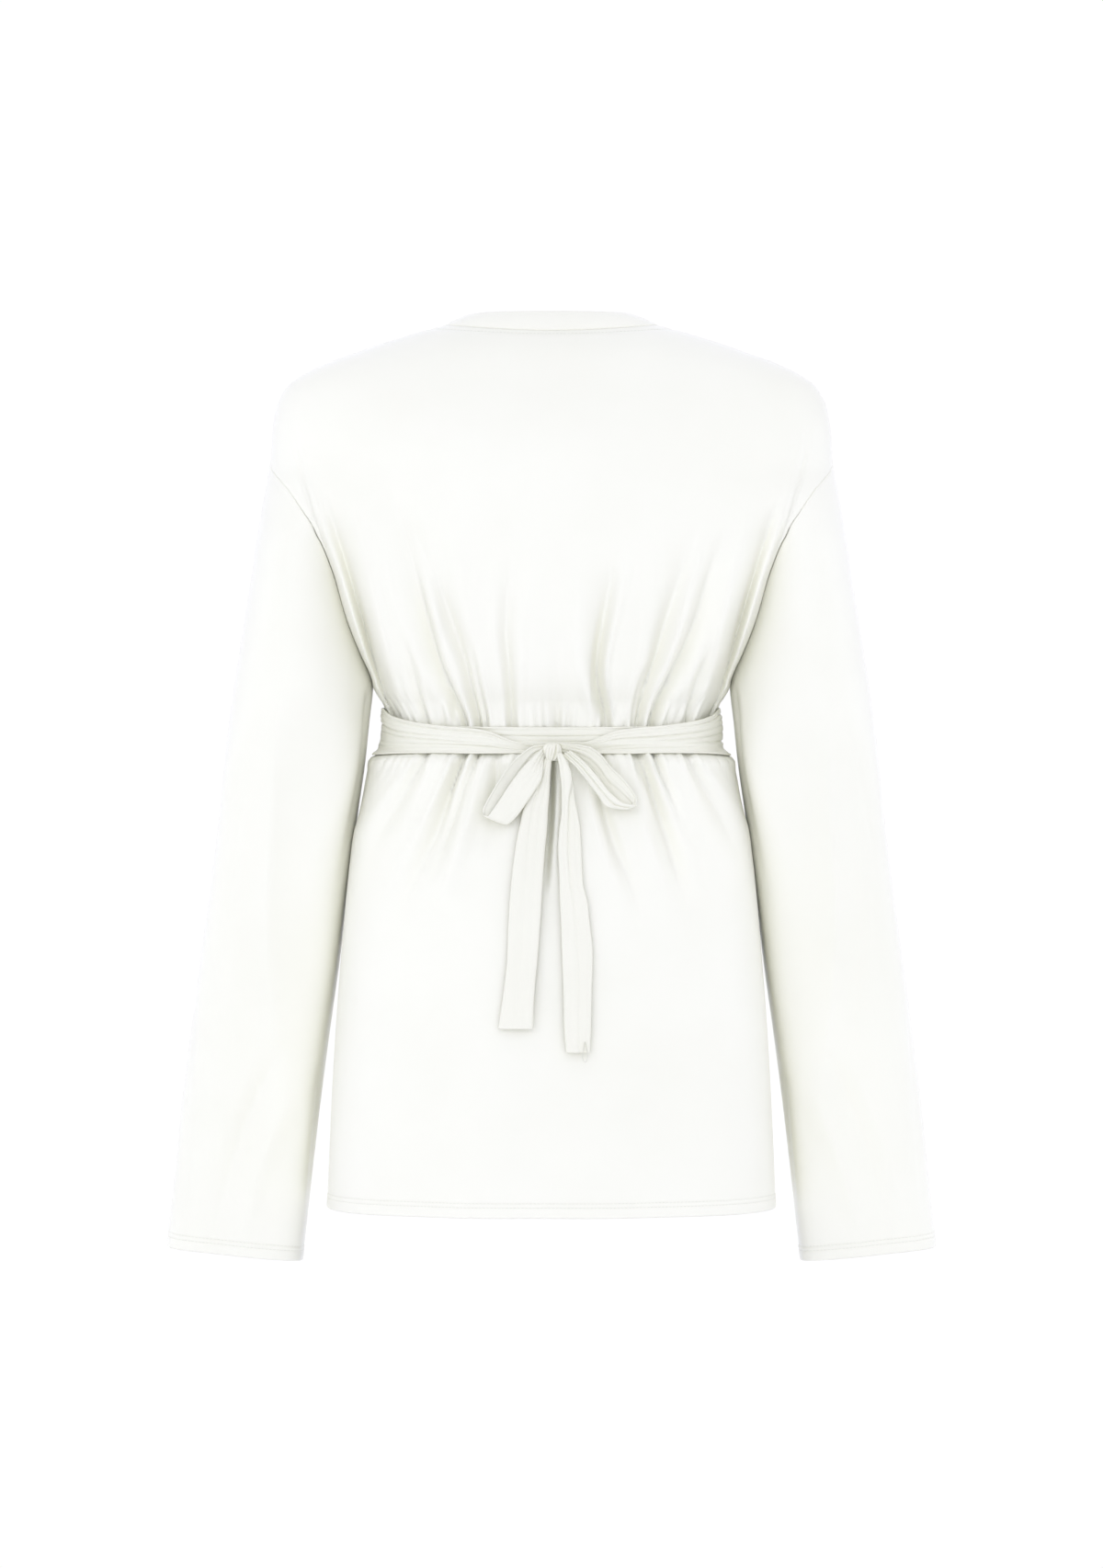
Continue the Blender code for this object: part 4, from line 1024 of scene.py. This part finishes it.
def back_panel(material):
    """(piece, rows of stitching) of the back."""
    z = levels(*BACK_ROWS, *HEM_ROWS)
    share = edge_spaced(BACK_ACROSS, BACK_EDGE)
    height = z[:, None] + 0 * share
    angle = (1 - 2 * share)[None] * seam_stop(z, BACK)[:, None]
    drop = BACK_NECK_DROP * (1 - smooth(height / SHOULDER_END))
    points = body_points(angle, height, BACK, drop=drop)
    stand, thick = hem_shape(height, HEM)
    below_neck = SHOULDER - height
    stand = stand - NECK_STITCH_DENT * hump(below_neck - TWIN_NEEDLE, STITCH_DENT_WIDE)
    stand = stand - NECK_SEAM_DENT * hump(below_neck, NECK_SEAM_WIDE)
    points = pushed(points, stand, flip=True)
    piece = cloth("back_panel_cloth", points, thick, material, flip=True)
    out = -directions(points, False)
    return piece, stitch_rows(points, out, z, (*HEM_STITCHING, SHOULDER - TWIN_NEEDLE))


def wrap_edge(z):
    """x of the seam between the over front and the neckband, from the shoulder to the far waist and hem."""
    waist = (z - SHOULDER) / (BELT_MIDDLE - SHOULDER)
    above = -NECK_SIDE + (NECK_SIDE + WRAP_AT_WAIST) * np.clip(waist, 0, None) ** WRAP_CURVE
    below = WRAP_AT_WAIST + (WRAP_AT_HEM - WRAP_AT_WAIST) * (z - BELT_MIDDLE) / (HEM - BELT_MIDDLE)
    return np.where(waist <= 1, above, below)


def sunk(own_angle, z, inset):
    """The under front sinks inwards away from its own shoulder and side seam, to pass beneath the other."""
    return inset * smooth((own_angle + math.pi / 2) / 0.5) * smooth(-z / UNDER_SINKS)


def wrap_front(name, material, hand, inset):
    """(piece, rows of stitching) of one wrap front.

    hand is -1 for the wearer's right, whose free edge lies at +X, and 1 for the left.
    """
    z = levels(*FRONT_ROWS, *HEM_ROWS)
    share = edge_spaced(FRONT_ACROSS, FRONT_EDGE)
    height = z[:, None] + 0 * share
    edge, _ = body_edge(z)
    stop, free = -seam_stop(z, FRONT), angle_across(wrap_edge(z), edge)
    own = stop[:, None] + (free - stop)[:, None] * share
    points = body_points(-hand * own, height, FRONT, inset=sunk(own, height, inset))
    stand, thick = hem_shape(height, HEM)
    points = pushed(points, stand, flip=hand < 0)
    piece = cloth(name, points, thick, material, flip=hand < 0)
    out = directions(points, False) * (-1 if hand < 0 else 1)
    return piece, stitch_rows(points, out, z, HEM_STITCHING)


# ---------------------------------------------------------------- sleeves


def sleeve(name, material, hand):
    """(piece, rows of stitching) of one sleeve, from the armhole seam to the cuff.

    Its columns run round the arm by the back.
    """
    turn = np.linspace(0, 360, SLEEVE_ROUND, endpoint=False)
    seam = armhole_height(turn)
    middle, tilt = (CUFF_OUTER + CUFF_INNER) / 2, (CUFF_OUTER - CUFF_INNER) / 2
    cuff = middle - tilt * np.cos(np.radians(turn))
    down, above_cuff = levels(*SLEEVE_ROWS)[:-1], levels(*CUFF_ROWS)
    height = seam[None] + (cuff + CUFF_FROM - seam)[None] * down[:, None]
    height = np.concatenate((height, cuff[None] + above_cuff[:, None]))
    turns = turn[None] + 0 * height
    points = arm_point(height, turns)
    out = directions(points, True)
    folds = creased(turns, height, SLEEVE_RIDGES) - creased(turns, height, SLEEVE_CREASES)
    stand, thick = hem_shape(height, cuff[None])
    below_seam = seam[None] - height
    points = points + out * (folds * smooth(below_seam / SLEEVE_CALM) + stand)[..., None]
    # the first rows draw in to the seam
    points = points - out * (SEAM_TUCK * hump(below_seam, 1.0))[..., None]
    points[0] += away_from_body(turn)
    points, out = points * (hand, 1, 1), out * (hand, 1, 1)
    rows = []
    for stitching in (HEM_TURN, HEM_TURN - TWIN_NEEDLE):
        i = len(down) + int(np.argmin(np.abs(above_cuff - stitching)))
        rows.append(tuple(np.concatenate((line[i], line[i, :1])) for line in (points, out)))
    return cloth(name, points, thick, material, ring=True, flip=hand < 0), rows


def away_from_body(turn):
    """The gap between the sleeve's edge and the armhole's, along the arm's surface."""
    here = arm_point(armhole_height(turn), turn)
    along = arm_point(armhole_height(turn + 2), turn + 2) - arm_point(armhole_height(turn - 2), turn - 2)
    down = arm_point(here[:, 2] - 2, turn) - here
    away = down - along * ((down * along).sum(-1) / (along * along).sum(-1))[:, None]
    return away / np.linalg.norm(away, axis=-1, keepdims=True) * SEAM_GAP * 1.25


# ---------------------------------------------------------------- neckband


def band_rungs():
    """Rows of the neckband, up the over front, round the back neck and down the under front."""
    z = levels(*BAND_ROWS)
    across = np.linspace(0, 1, BAND_ACROSS)
    over, under = band_points(z[::-1], -1, 0.0, across), band_points(z, 1, UNDER_BAND_STEP, across)
    neck = neck_points(across)
    over_turn, under_turn = band_turn(over[-1], neck[0], -1), band_turn(under[0], neck[-1], 1)
    return np.concatenate((over, over_turn[::-1], neck, under_turn, under))


def band_turn(lying, standing, hand):
    """Rows beside the shoulder, seamed to the front, where the band turns up from lying to standing."""
    z = levels(BAND_TURN_ROWS)
    x = wrap_edge(z) + BAND_GAP
    seam = body_points(-hand * angle_across(x, body_edge(z)[0]), z, FRONT)
    share = ((z - BAND_LIES) / (SHOULDER - BAND_LIES))[:, None, None]
    return seam[:, None] + (lying - lying[0]) * (1 - share) + (standing - standing[0]) * share


def band_points(z, hand, inset, across):
    """Rows of the band along a front's free edge, square to that edge."""
    here, lower = wrap_edge(z), wrap_edge(z - 1)
    along = np.stack((lower - here, -np.ones_like(z)), -1)
    along /= np.linalg.norm(along, axis=-1, keepdims=True)
    far = BAND_GAP + (BAND_WIDTH - BAND_GAP) * across[None]
    x = here[:, None] - along[:, 1:] * far
    height = z[:, None] + along[:, :1] * far
    angle = angle_across(x, body_edge(height)[0])
    return body_points(-hand * angle, height, FRONT, inset=sunk(angle, height, inset))


def neck_points(across):
    """The band at the back neck, which stands and leans in."""
    angle = np.linspace(0, math.pi, NECK_ROUND)[1:-1] - math.pi / 2
    seam = body_points(angle, np.full_like(angle, SHOULDER), BACK, drop=BACK_NECK_DROP)
    seam[:, 2] += SEAM_GAP
    leaning = seam[:, 1] - NECK_LEANS * np.cos(angle)
    top = np.stack((seam[:, 0] * NECK_DRAWN_IN, leaning, np.full_like(angle, NECK_TOP)), -1)
    curl = NECK_CURL * np.sin(math.pi * across)[None, :, None] * np.array((0, 1, 0.4))
    return seam[:, None] + (top - seam)[:, None] * across[None, :, None] + curl


def neckband(material):
    """The neckband, all in one."""
    return cloth("neckband_cloth", band_rungs(), BAND_THICK, material)


# ---------------------------------------------------------------- ties


def belt_points(at, z, lift):
    """Points of the belt: on the waist's ring, that far off the cloth."""
    turn = (at + 180) % 360 - 180
    back = np.abs(turn) <= 90
    angle = np.radians(np.where(back, turn, np.where(turn > 0, 180 - turn, -180 - turn)))
    ring = np.minimum(WAIST, z - BELT_FLARE) + 0 * angle
    xb, yb = body_ring(angle, ring, BACK)
    xf, yf = body_ring(angle, ring, FRONT)
    x, y = np.where(back, xb, xf), np.where(back, yb, yf)
    middle = np.where(back, middle_depth(WAIST, BACK), middle_depth(WAIST, FRONT))
    out = np.stack((x / lookup(BODY, "edge", WAIST) ** 2, y / middle**2), -1)
    out /= np.linalg.norm(out, axis=-1, keepdims=True)
    return np.stack((x + out[..., 0] * lift, y + out[..., 1] * lift, z), -1)


def pleated(at, across, gone, high, full, pleats):
    """How far the belt's pleats lie back at each place along and across it."""
    total = np.zeros(np.broadcast(at, across).shape)
    for k, (near, far, deep, wide) in enumerate(pleats):
        place = near + (far - near) * gone + 0.016 * np.sin(at / 13 + 2.1 * k) + 0.006 * np.sin(at / 5 + k)
        depth = deep * full * (0.75 + 0.4 * np.sin(at / 17 + 1.7 * k))
        below = (across - place) * high
        total += depth * np.exp(-np.abs(below / np.minimum(wide, high / 16)) ** 1.2)
        total += PLEAT_OVERLAP * depth * (below > 0) * np.exp(-below / PLEAT_FADE)
    return total


def belt_stretch(name, rows, pleats, material):
    """One stretch of the tie round the waist, drawn together into pleats."""
    start, end = rows["round"][0], rows["round"][-1]
    at = np.linspace(start, end, int(abs(end - start) / BELT_STEP))[:, None]
    across = np.linspace(0, 1, BELT_ACROSS)[None]
    top, bottom, lift = (lookup(rows, column, at) for column in ("top", "bottom", "lift"))
    high = top - bottom
    full = np.minimum(1, high / BELT_FULL)
    push = BELT_ROLL * full * np.sin(at / 11 + 7 * across)
    push = push - pleated(at, across, (at - start) / (end - start), high, full, pleats)
    from_edge = high * (0.5 - np.abs(across - 0.5))
    push -= BELT_EDGE_DROP * full * np.exp(-from_edge / 0.5)
    push -= BELT_SEAM_DENT * full * hump(from_edge - BELT_SEAM_AT, 0.5)
    z = top - high * across + 0 * at
    turn = np.abs(at)
    behind = smooth((140 - turn) / 25)
    at_foot = smooth((-349 - z) / 7) * behind
    at_head = smooth((8 - from_edge) / 7) * (across < 0.5) * smooth((turn - 62) / 18) * behind
    lift = lift * (1 - BELT_TIGHT_FOOT * at_foot - BELT_TIGHT_HEAD * at_head)
    points = belt_points(at + 0 * across, z, lift + TIE_THICK * 0.9 + push)
    return cloth(name, points, TIE_THICK, material, flip=end > start)


def belt_back_y():
    """Y of the belt's ring at the middle back."""
    return float(belt_points(np.array([0.0]), np.array([BELT_MIDDLE]), np.array([0.0]))[0, 1])


def off_the_back(x, z, off):
    """Points off the back of the belt, kept clear of the skirt that stands out below it."""
    skirt = body_ring(angle_across(x, body_edge(z)[0]), z, BACK)[1]
    y = np.maximum(belt_back_y() + off, skirt + 2.0 + TIE_THICK)
    return np.stack((x, y, z), -1)


def bow_loop(name, rungs, material, flip, folds):
    """A loop of the bow, through its rungs, from the knot out to its tip and back."""
    last = len(rungs["x1"]) - 1
    along = np.linspace(0, last, LOOP_ALONG)
    numbered = {"rung": np.arange(last + 1.0), **rungs}
    x1, z1, off1, x2, z2, off2 = (lookup(numbered, column, along) for column in rungs)
    one, other = off_the_back(x1, z1, off1), off_the_back(x2, z2, off2)
    across = np.linspace(0, 1, TIE_ACROSS)[None]
    points = one[:, None] + (other - one)[:, None] * across[..., None]
    share = (along / last)[:, None]
    at_knot = hump(share, 0.16) + hump(1 - share, 0.16)
    push = LOOP_BELLY * (1 - (2 * across - 1) ** 2) * (1 - 0.5 * at_knot)
    push = push - edge_drop(across * np.linalg.norm(other - one, axis=-1)[:, None])
    for place, deep_near, deep_far, wide in folds:
        depth = deep_far + (deep_near - deep_far) * at_knot
        push = push - depth * np.exp(-(np.abs((across - place - 0.03 * np.sin(9 * share)) / wide) ** 1.2))
    return cloth(name, pushed(points, push, flip=flip), TIE_THICK, material, flip=flip)


def edge_drop(far):
    """How far a tie falls away at its two edges. far: millimetres across it from the first one."""
    return TIE_EDGE_DROP * (hump(far, TIE_EDGE_WIDE) + hump(far[:, -1:] - far, TIE_EDGE_WIDE))


def rest_on_skirt(x, z, off):
    """Points off the widest reach of the cloth behind them, or off the belt's back."""
    ring = body_ring(angle_across(x, body_edge(z)[0]), z, BACK)[1]
    swell = 2.4 * smooth((z + 520) / 60)
    y = np.where(z > -420, np.maximum(ring + swell, belt_back_y() + 3), ring + swell)
    return np.stack((x, y + off, z), -1)


def tail(name, rows, material, folds):
    """A hanging end of the tie, which lies down on the skirt's back."""
    top, foot = rows["z"][0], rows["z"][-1]
    z = levels((top, foot + 3, 1.8), (foot + 3, foot, 0.6))[:, None]
    across = np.linspace(0, 1, TIE_ACROSS)[None]
    x1, x2, off = (lookup(rows, column, z) for column in ("x1", "x2", "off"))
    x = x1 + (x2 - x1) * across
    points = rest_on_skirt(x, z + 0 * across, off + 0 * across)
    down = (z - top) / (foot - top)
    push = TAIL_BELLY * (1 - (2 * across - 1) ** 2)
    push = push + 0.5 * np.sin(6.0 * down + 2.5 * across) * smooth(down / 0.3)
    push = push - edge_drop(across * np.abs(x2 - x1))
    for path, deep, wide, step in folds:
        beyond = across - lookup(table("z place", *path), "place", z)
        fading = 1 - 0.75 * smooth((down - 0.2) / 0.4)
        groove = deep * np.exp(-(np.abs(beyond / wide) ** 1.2))
        push = push - fading * (groove + step * smooth(beyond / 0.08 + 0.5))
    return cloth(name, pushed(points, push, flip=True), TIE_THICK, material, flip=True)


def thread_loop(material):
    """The end of a seam's thread, which hangs as a small loop on the right tail."""
    turn = np.linspace(0, 2 * math.pi, 36, endpoint=False)
    x0, z0, wide, high, thin = THREAD_LOOP
    x = x0 + wide / 2 * (0.65 - 0.35 * np.cos(turn)) * np.sin(turn)
    z = z0 + high / 2 * np.cos(turn)
    line = rest_on_skirt(x, z, lookup(RIGHT_TAIL, "off", z) + 1.1)
    ahead = np.roll(line, -1, 0) - np.roll(line, 1, 0)
    ahead /= np.linalg.norm(ahead, axis=1, keepdims=True)
    aside = np.cross(ahead, (0, 1, 0))
    around = np.radians(np.arange(0, 360, 60))[None, :, None]
    circle = aside[:, None] * np.cos(around) + np.array((0, 1, 0)) * np.sin(around)
    points = line[:, None] + circle * thin / 2
    number = np.arange(points.shape[0] * 6).reshape(-1, 6)
    rings = np.concatenate((number, number[:1]))
    return new_mesh("tail_thread_loop", points.reshape(-1, 3), tube_faces(rings), material)


def knot(material):
    """The knot: one turn of the tie drawn tight round the rest, with folds that run over it."""
    x0, off, z0 = KNOT_CENTRE
    rx, ry, rz = KNOT_RADII
    lift = np.linspace(0.04, math.pi - 0.04, KNOT_RINGS)[:, None]
    around = np.linspace(0, 2 * math.pi, KNOT_ROUND, endpoint=False)[None]
    folds = 0.04 * np.cos(3 * around + 0.6 * np.cos(lift))
    for at, deep, wide in KNOT_FOLDS:
        away = np.degrees(around) - at - KNOT_FOLD_SLANT * np.cos(lift)
        folds = folds - deep * np.exp(-(np.abs(away / wide) ** 1.5))
    size = np.sin(lift) ** 0.5 * (1 + folds * np.sin(lift))
    points = np.stack((
        x0 + rx * size * np.cos(around),
        belt_back_y() + off + ry * size * np.sin(around),
        z0 + rz * np.cos(lift) + 0.5 * np.cos(3 * around) * np.sin(lift) ** 2,
    ), -1)
    poles = [points[0].mean(0) + (0, 0, 0.1), points[-1].mean(0) - (0, 0, 0.1)]
    top, foot = points[..., 0].size, points[..., 0].size + 1
    rings = np.arange(top).reshape(KNOT_RINGS, KNOT_ROUND)
    faces = [face[::-1] for face in tube_faces(rings)]
    faces += [(top, a, b) for a, b in zip(rings[0].tolist(), np.roll(rings[0], -1).tolist())]
    faces += [(foot, b, a) for a, b in zip(rings[-1].tolist(), np.roll(rings[-1], -1).tolist())]
    points = np.concatenate((points.reshape(-1, 3), poles))
    corners = [k for face in faces for k in face]
    return new_mesh("bow_knot_cloth", points, faces, material, points[corners][:, (0, 2)] * MM)


# ---------------------------------------------------------------- materials


class Patch:
    """A small helper that adds nodes to one node tree and joins them."""

    def __init__(self, tree):
        self.tree = tree

    def add(self, kind, **settings):
        """A new node with these settings."""
        node = self.tree.nodes.new(kind)
        for name, value in settings.items():
            setattr(node, name, value)
        return node

    def join(self, source, target):
        """Links an output to an input."""
        self.tree.links.new(source, target)

    def math(self, operation, *values):
        """The result of a Math node; each value is a number or another node's output."""
        node = self.add("ShaderNodeMath", operation=operation)
        for slot, value in zip(node.inputs, values):
            if isinstance(value, (int, float)):
                slot.default_value = value
            else:
                self.join(value, slot)
        return node.outputs[0]

    def blend(self, dark, light, factor, target):
        """Leads a mix of two colours to an input."""
        mix = self.add("ShaderNodeMix", data_type="RGBA")
        mix.inputs["A"].default_value, mix.inputs["B"].default_value = dark, light
        self.join(factor, mix.inputs["Factor"])
        self.join(mix.outputs["Result"], target)

    def bump(self, height, strength, distance, before=None):
        """The normal of a Bump node, laid over the one before it."""
        relief = self.add("ShaderNodeBump")
        relief.inputs["Strength"].default_value, relief.inputs["Distance"].default_value = strength, distance
        self.join(height, relief.inputs["Height"])
        if before:
            self.join(before, relief.inputs["Normal"])
        return relief.outputs["Normal"]


def new_material(name):
    """(material, a patch on its nodes, its Principled shader)."""
    material = bpy.data.materials.new(name)
    material.use_nodes = True
    return material, Patch(material.node_tree), material.node_tree.nodes["Principled BSDF"]


def group(name, inputs, outputs):
    """(node group, a patch on it, its input node, its output node)."""
    tree = bpy.data.node_groups.new(name, "ShaderNodeTree")
    for label, kind, value in inputs:
        socket = tree.interface.new_socket(label, in_out="INPUT", socket_type=kind)
        if value is not None:
            socket.default_value = value
    for label, kind in outputs:
        tree.interface.new_socket(label, in_out="OUTPUT", socket_type=kind)
    patch = Patch(tree)
    return tree, patch, patch.add("NodeGroupInput"), patch.add("NodeGroupOutput")


def knit_group():
    """Plain jersey: columns of small V stitches. Height is their relief, and Painted Shade, the same value,
    is painted shade that darkens the colour between them.
    """
    tree, patch, given, result = group(
        "jersey_knit",
        [
            ("Place", "NodeSocketVector", None),
            ("Wale", "NodeSocketFloat", BODY_STITCH[0]),
            ("Course", "NodeSocketFloat", BODY_STITCH[1]),
        ],
        [("Height", "NodeSocketFloat"), ("Tone", "NodeSocketFloat")],
    )
    split = patch.add("ShaderNodeSeparateXYZ")
    patch.join(given.outputs["Place"], split.inputs[0])
    wale = patch.math("DIVIDE", split.outputs["X"], given.outputs["Wale"])
    course = patch.math("DIVIDE", split.outputs["Y"], given.outputs["Course"])
    within = patch.math("MULTIPLY", patch.math("FRACT", wale), 2.0)
    from_middle = patch.math("ABSOLUTE", patch.math("SUBTRACT", within, 1.0))
    slant = patch.math("ADD", course, patch.math("MULTIPLY", from_middle, 0.8))
    wave = patch.math("SINE", patch.math("MULTIPLY", slant, 6.2832))
    leg = patch.math("ADD", patch.math("MULTIPLY", wave, 0.5), 0.5)
    channel = patch.math("SUBTRACT", 1.0, patch.math("POWER", from_middle, 5.0))
    near_middle = patch.math("POWER", patch.math("SUBTRACT", 1.0, from_middle), 5.0)
    core = patch.math("SUBTRACT", 1.0, patch.math("MULTIPLY", near_middle, 0.6))
    height = patch.math("MULTIPLY", patch.math("MULTIPLY", leg, channel), core)
    patch.join(height, result.inputs["Height"])
    # the relief doubles as painted shade: the lower it lies, the darker the colour
    patch.join(height, result.inputs["Tone"])
    return tree


def cloudy_group():
    """Slow changes of tone over a piece of cloth, and the fine fuzz of its yarn."""
    tree, patch, given, result = group(
        "cloth_clouds",
        [
            ("Place", "NodeSocketVector", None),
            ("Cloud", "NodeSocketFloat", 9.0),
            ("Fuzz", "NodeSocketFloat", 900.0),
        ],
        [("Cloud", "NodeSocketFloat"), ("Fuzz", "NodeSocketFloat")],
    )
    for label, detail in (("Cloud", 3.0), ("Fuzz", 2.0)):
        noise = patch.add("ShaderNodeTexNoise")
        noise.inputs["Detail"].default_value = detail
        patch.join(given.outputs["Place"], noise.inputs["Vector"])
        patch.join(given.outputs[label], noise.inputs["Scale"])
        patch.join(noise.outputs["Fac"], result.inputs[label])
    return tree


def jersey_material(name, colour, hollow, stitch_size, knit, clouds):
    """Smooth ivory jersey. hollow is painted shade: the darker colour laid between its stitches, where they
    shade each other.
    """
    material, patch, shader = new_material(name)
    shader.inputs["Specular IOR Level"].default_value = 0.45
    shader.inputs["Sheen Weight"].default_value = 0.12
    shader.inputs["Sheen Roughness"].default_value = 0.4
    pattern = patch.add("ShaderNodeUVMap", uv_map="flat_pattern")
    place = patch.add("ShaderNodeTexCoord")
    stitch = patch.add("ShaderNodeGroup", node_tree=knit)
    stitch.inputs["Wale"].default_value, stitch.inputs["Course"].default_value = stitch_size
    patch.join(pattern.outputs["UV"], stitch.inputs["Place"])
    cloud = patch.add("ShaderNodeGroup", node_tree=clouds)
    patch.join(place.outputs["Object"], cloud.inputs["Place"])

    tone = patch.add("ShaderNodeMix", data_type="RGBA", blend_type="MULTIPLY")
    tone.inputs["Factor"].default_value = 1.0
    # painted shade: the colour darkens from colour towards hollow between the stitches, following the knit's
    # relief
    raised = patch.math("ADD", 0.55, patch.math("MULTIPLY", stitch.outputs["Tone"], 0.6))
    patch.blend(hollow, colour, raised, tone.inputs["A"])
    ramp = patch.add("ShaderNodeValToRGB")
    low, high = ramp.color_ramp.elements
    low.position, high.position = 0.3, 0.7
    low.color, high.color = FADED, (1, 1, 1, 1)
    patch.join(cloud.outputs["Cloud"], ramp.inputs["Fac"])
    patch.join(ramp.outputs["Color"], tone.inputs["B"])
    patch.join(tone.outputs["Result"], shader.inputs["Base Color"])

    rough = patch.math("ADD", 0.4, patch.math("MULTIPLY", cloud.outputs["Fuzz"], 0.14))
    patch.join(rough, shader.inputs["Roughness"])
    fuzz = patch.bump(cloud.outputs["Fuzz"], 0.12, 0.0002)
    patch.join(patch.bump(stitch.outputs["Height"], 0.18, 0.0003, fuzz), shader.inputs["Normal"])
    return material


def thread_material(clouds):
    """Fine twisted thread, a shade darker than the jersey."""
    material, patch, shader = new_material("polyester_thread")
    shader.inputs["Roughness"].default_value = 0.45
    place = patch.add("ShaderNodeTexCoord")
    cloud = patch.add("ShaderNodeGroup", node_tree=clouds)
    cloud.inputs["Cloud"].default_value, cloud.inputs["Fuzz"].default_value = 300.0, 2500.0
    patch.join(place.outputs["Object"], cloud.inputs["Place"])
    patch.blend(THREAD_DARK, THREAD_LIGHT, cloud.outputs["Cloud"], shader.inputs["Base Color"])
    patch.join(patch.bump(cloud.outputs["Fuzz"], 0.3, 0.0001), shader.inputs["Normal"])
    return material


def floor_material():
    """Plain pale floor with a slight change of tone."""
    material, patch, shader = new_material("pale_floor")
    shader.inputs["Roughness"].default_value = 0.9
    place = patch.add("ShaderNodeTexCoord")
    noise = patch.add("ShaderNodeTexNoise")
    noise.inputs["Scale"].default_value = 3.0
    patch.join(place.outputs["Object"], noise.inputs["Vector"])
    patch.blend(FLOOR_DARK, FLOOR_LIGHT, noise.outputs["Fac"], shader.inputs["Base Color"])
    return material


# ---------------------------------------------------------------- dressing


def dress(piece, node=None):
    """Puts a piece on the garment's body, in the place of the node that it stands for."""
    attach(piece, "root")
    if node:
        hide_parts(node)


def panels(material):
    """Each sewn panel with its rows of stitching."""
    return [
        back_panel(material),
        wrap_front("front_over_cloth", material, -1, 0.0),
        wrap_front("front_under_cloth", material, 1, LAYER_STEP),
        sleeve("sleeve_left_cloth", material, 1),
        sleeve("sleeve_right_cloth", material, -1),
    ]


def sew(sewn, thread):
    """The stitching of each panel, by the panel's name."""
    sewing = {}
    for panel, rows in sewn:
        sewing[panel.name] = []
        for k, (line, out) in enumerate(rows):
            name = panel.name.replace("cloth", f"stitches_{k + 1}")
            piece = stitches(name, line, out, thread)
            dress(piece)
            sewing[panel.name].append(piece)
    return sewing


def ties(material):
    """The belt, the bow and its two ends."""
    return [
        belt_stretch("back_pass_cloth", BACK_PASS, PASS_PLEATS, material),
        belt_stretch("wrap_left_cloth", LEFT_WRAP, STRAND_PLEATS, material),
        belt_stretch("wrap_right_cloth", RIGHT_WRAP, STRAND_PLEATS, material),
        knot(material),
        bow_loop("loop_left_cloth", LEFT_LOOP, material, False, LEFT_LOOP_FOLDS),
        bow_loop("loop_right_cloth", RIGHT_LOOP, material, True, RIGHT_LOOP_FOLDS),
        tail("tail_left_cloth", LEFT_TAIL, material, LEFT_TAIL_FOLDS),
        tail("tail_right_cloth", RIGHT_TAIL, material, RIGHT_TAIL_FOLDS),
    ]


def main():
    """Makes the room and every piece of the top, and puts each in the place of the node that it stands for.
    """
    studio()
    knit, clouds = knit_group(), cloudy_group()
    jersey = jersey_material("ivory_jersey", IVORY, IVORY_PAINTED_SHADE, BODY_STITCH, knit, clouds)
    tie_jersey = jersey_material("tie_jersey", TIE_IVORY, TIE_PAINTED_SHADE, TIE_STITCH, knit, clouds)
    thread = thread_material(clouds)

    sewn = panels(jersey)
    pieces = [panel for panel, _ in sewn] + [neckband(jersey)]
    sewing = sew(sewn, thread)
    pieces += ties(tie_jersey)
    dress(thread_loop(thread))

    made = {piece.name: piece for piece in pieces}
    for name, node, slot, *_ in CUT:
        dress(made[name], node)


main()
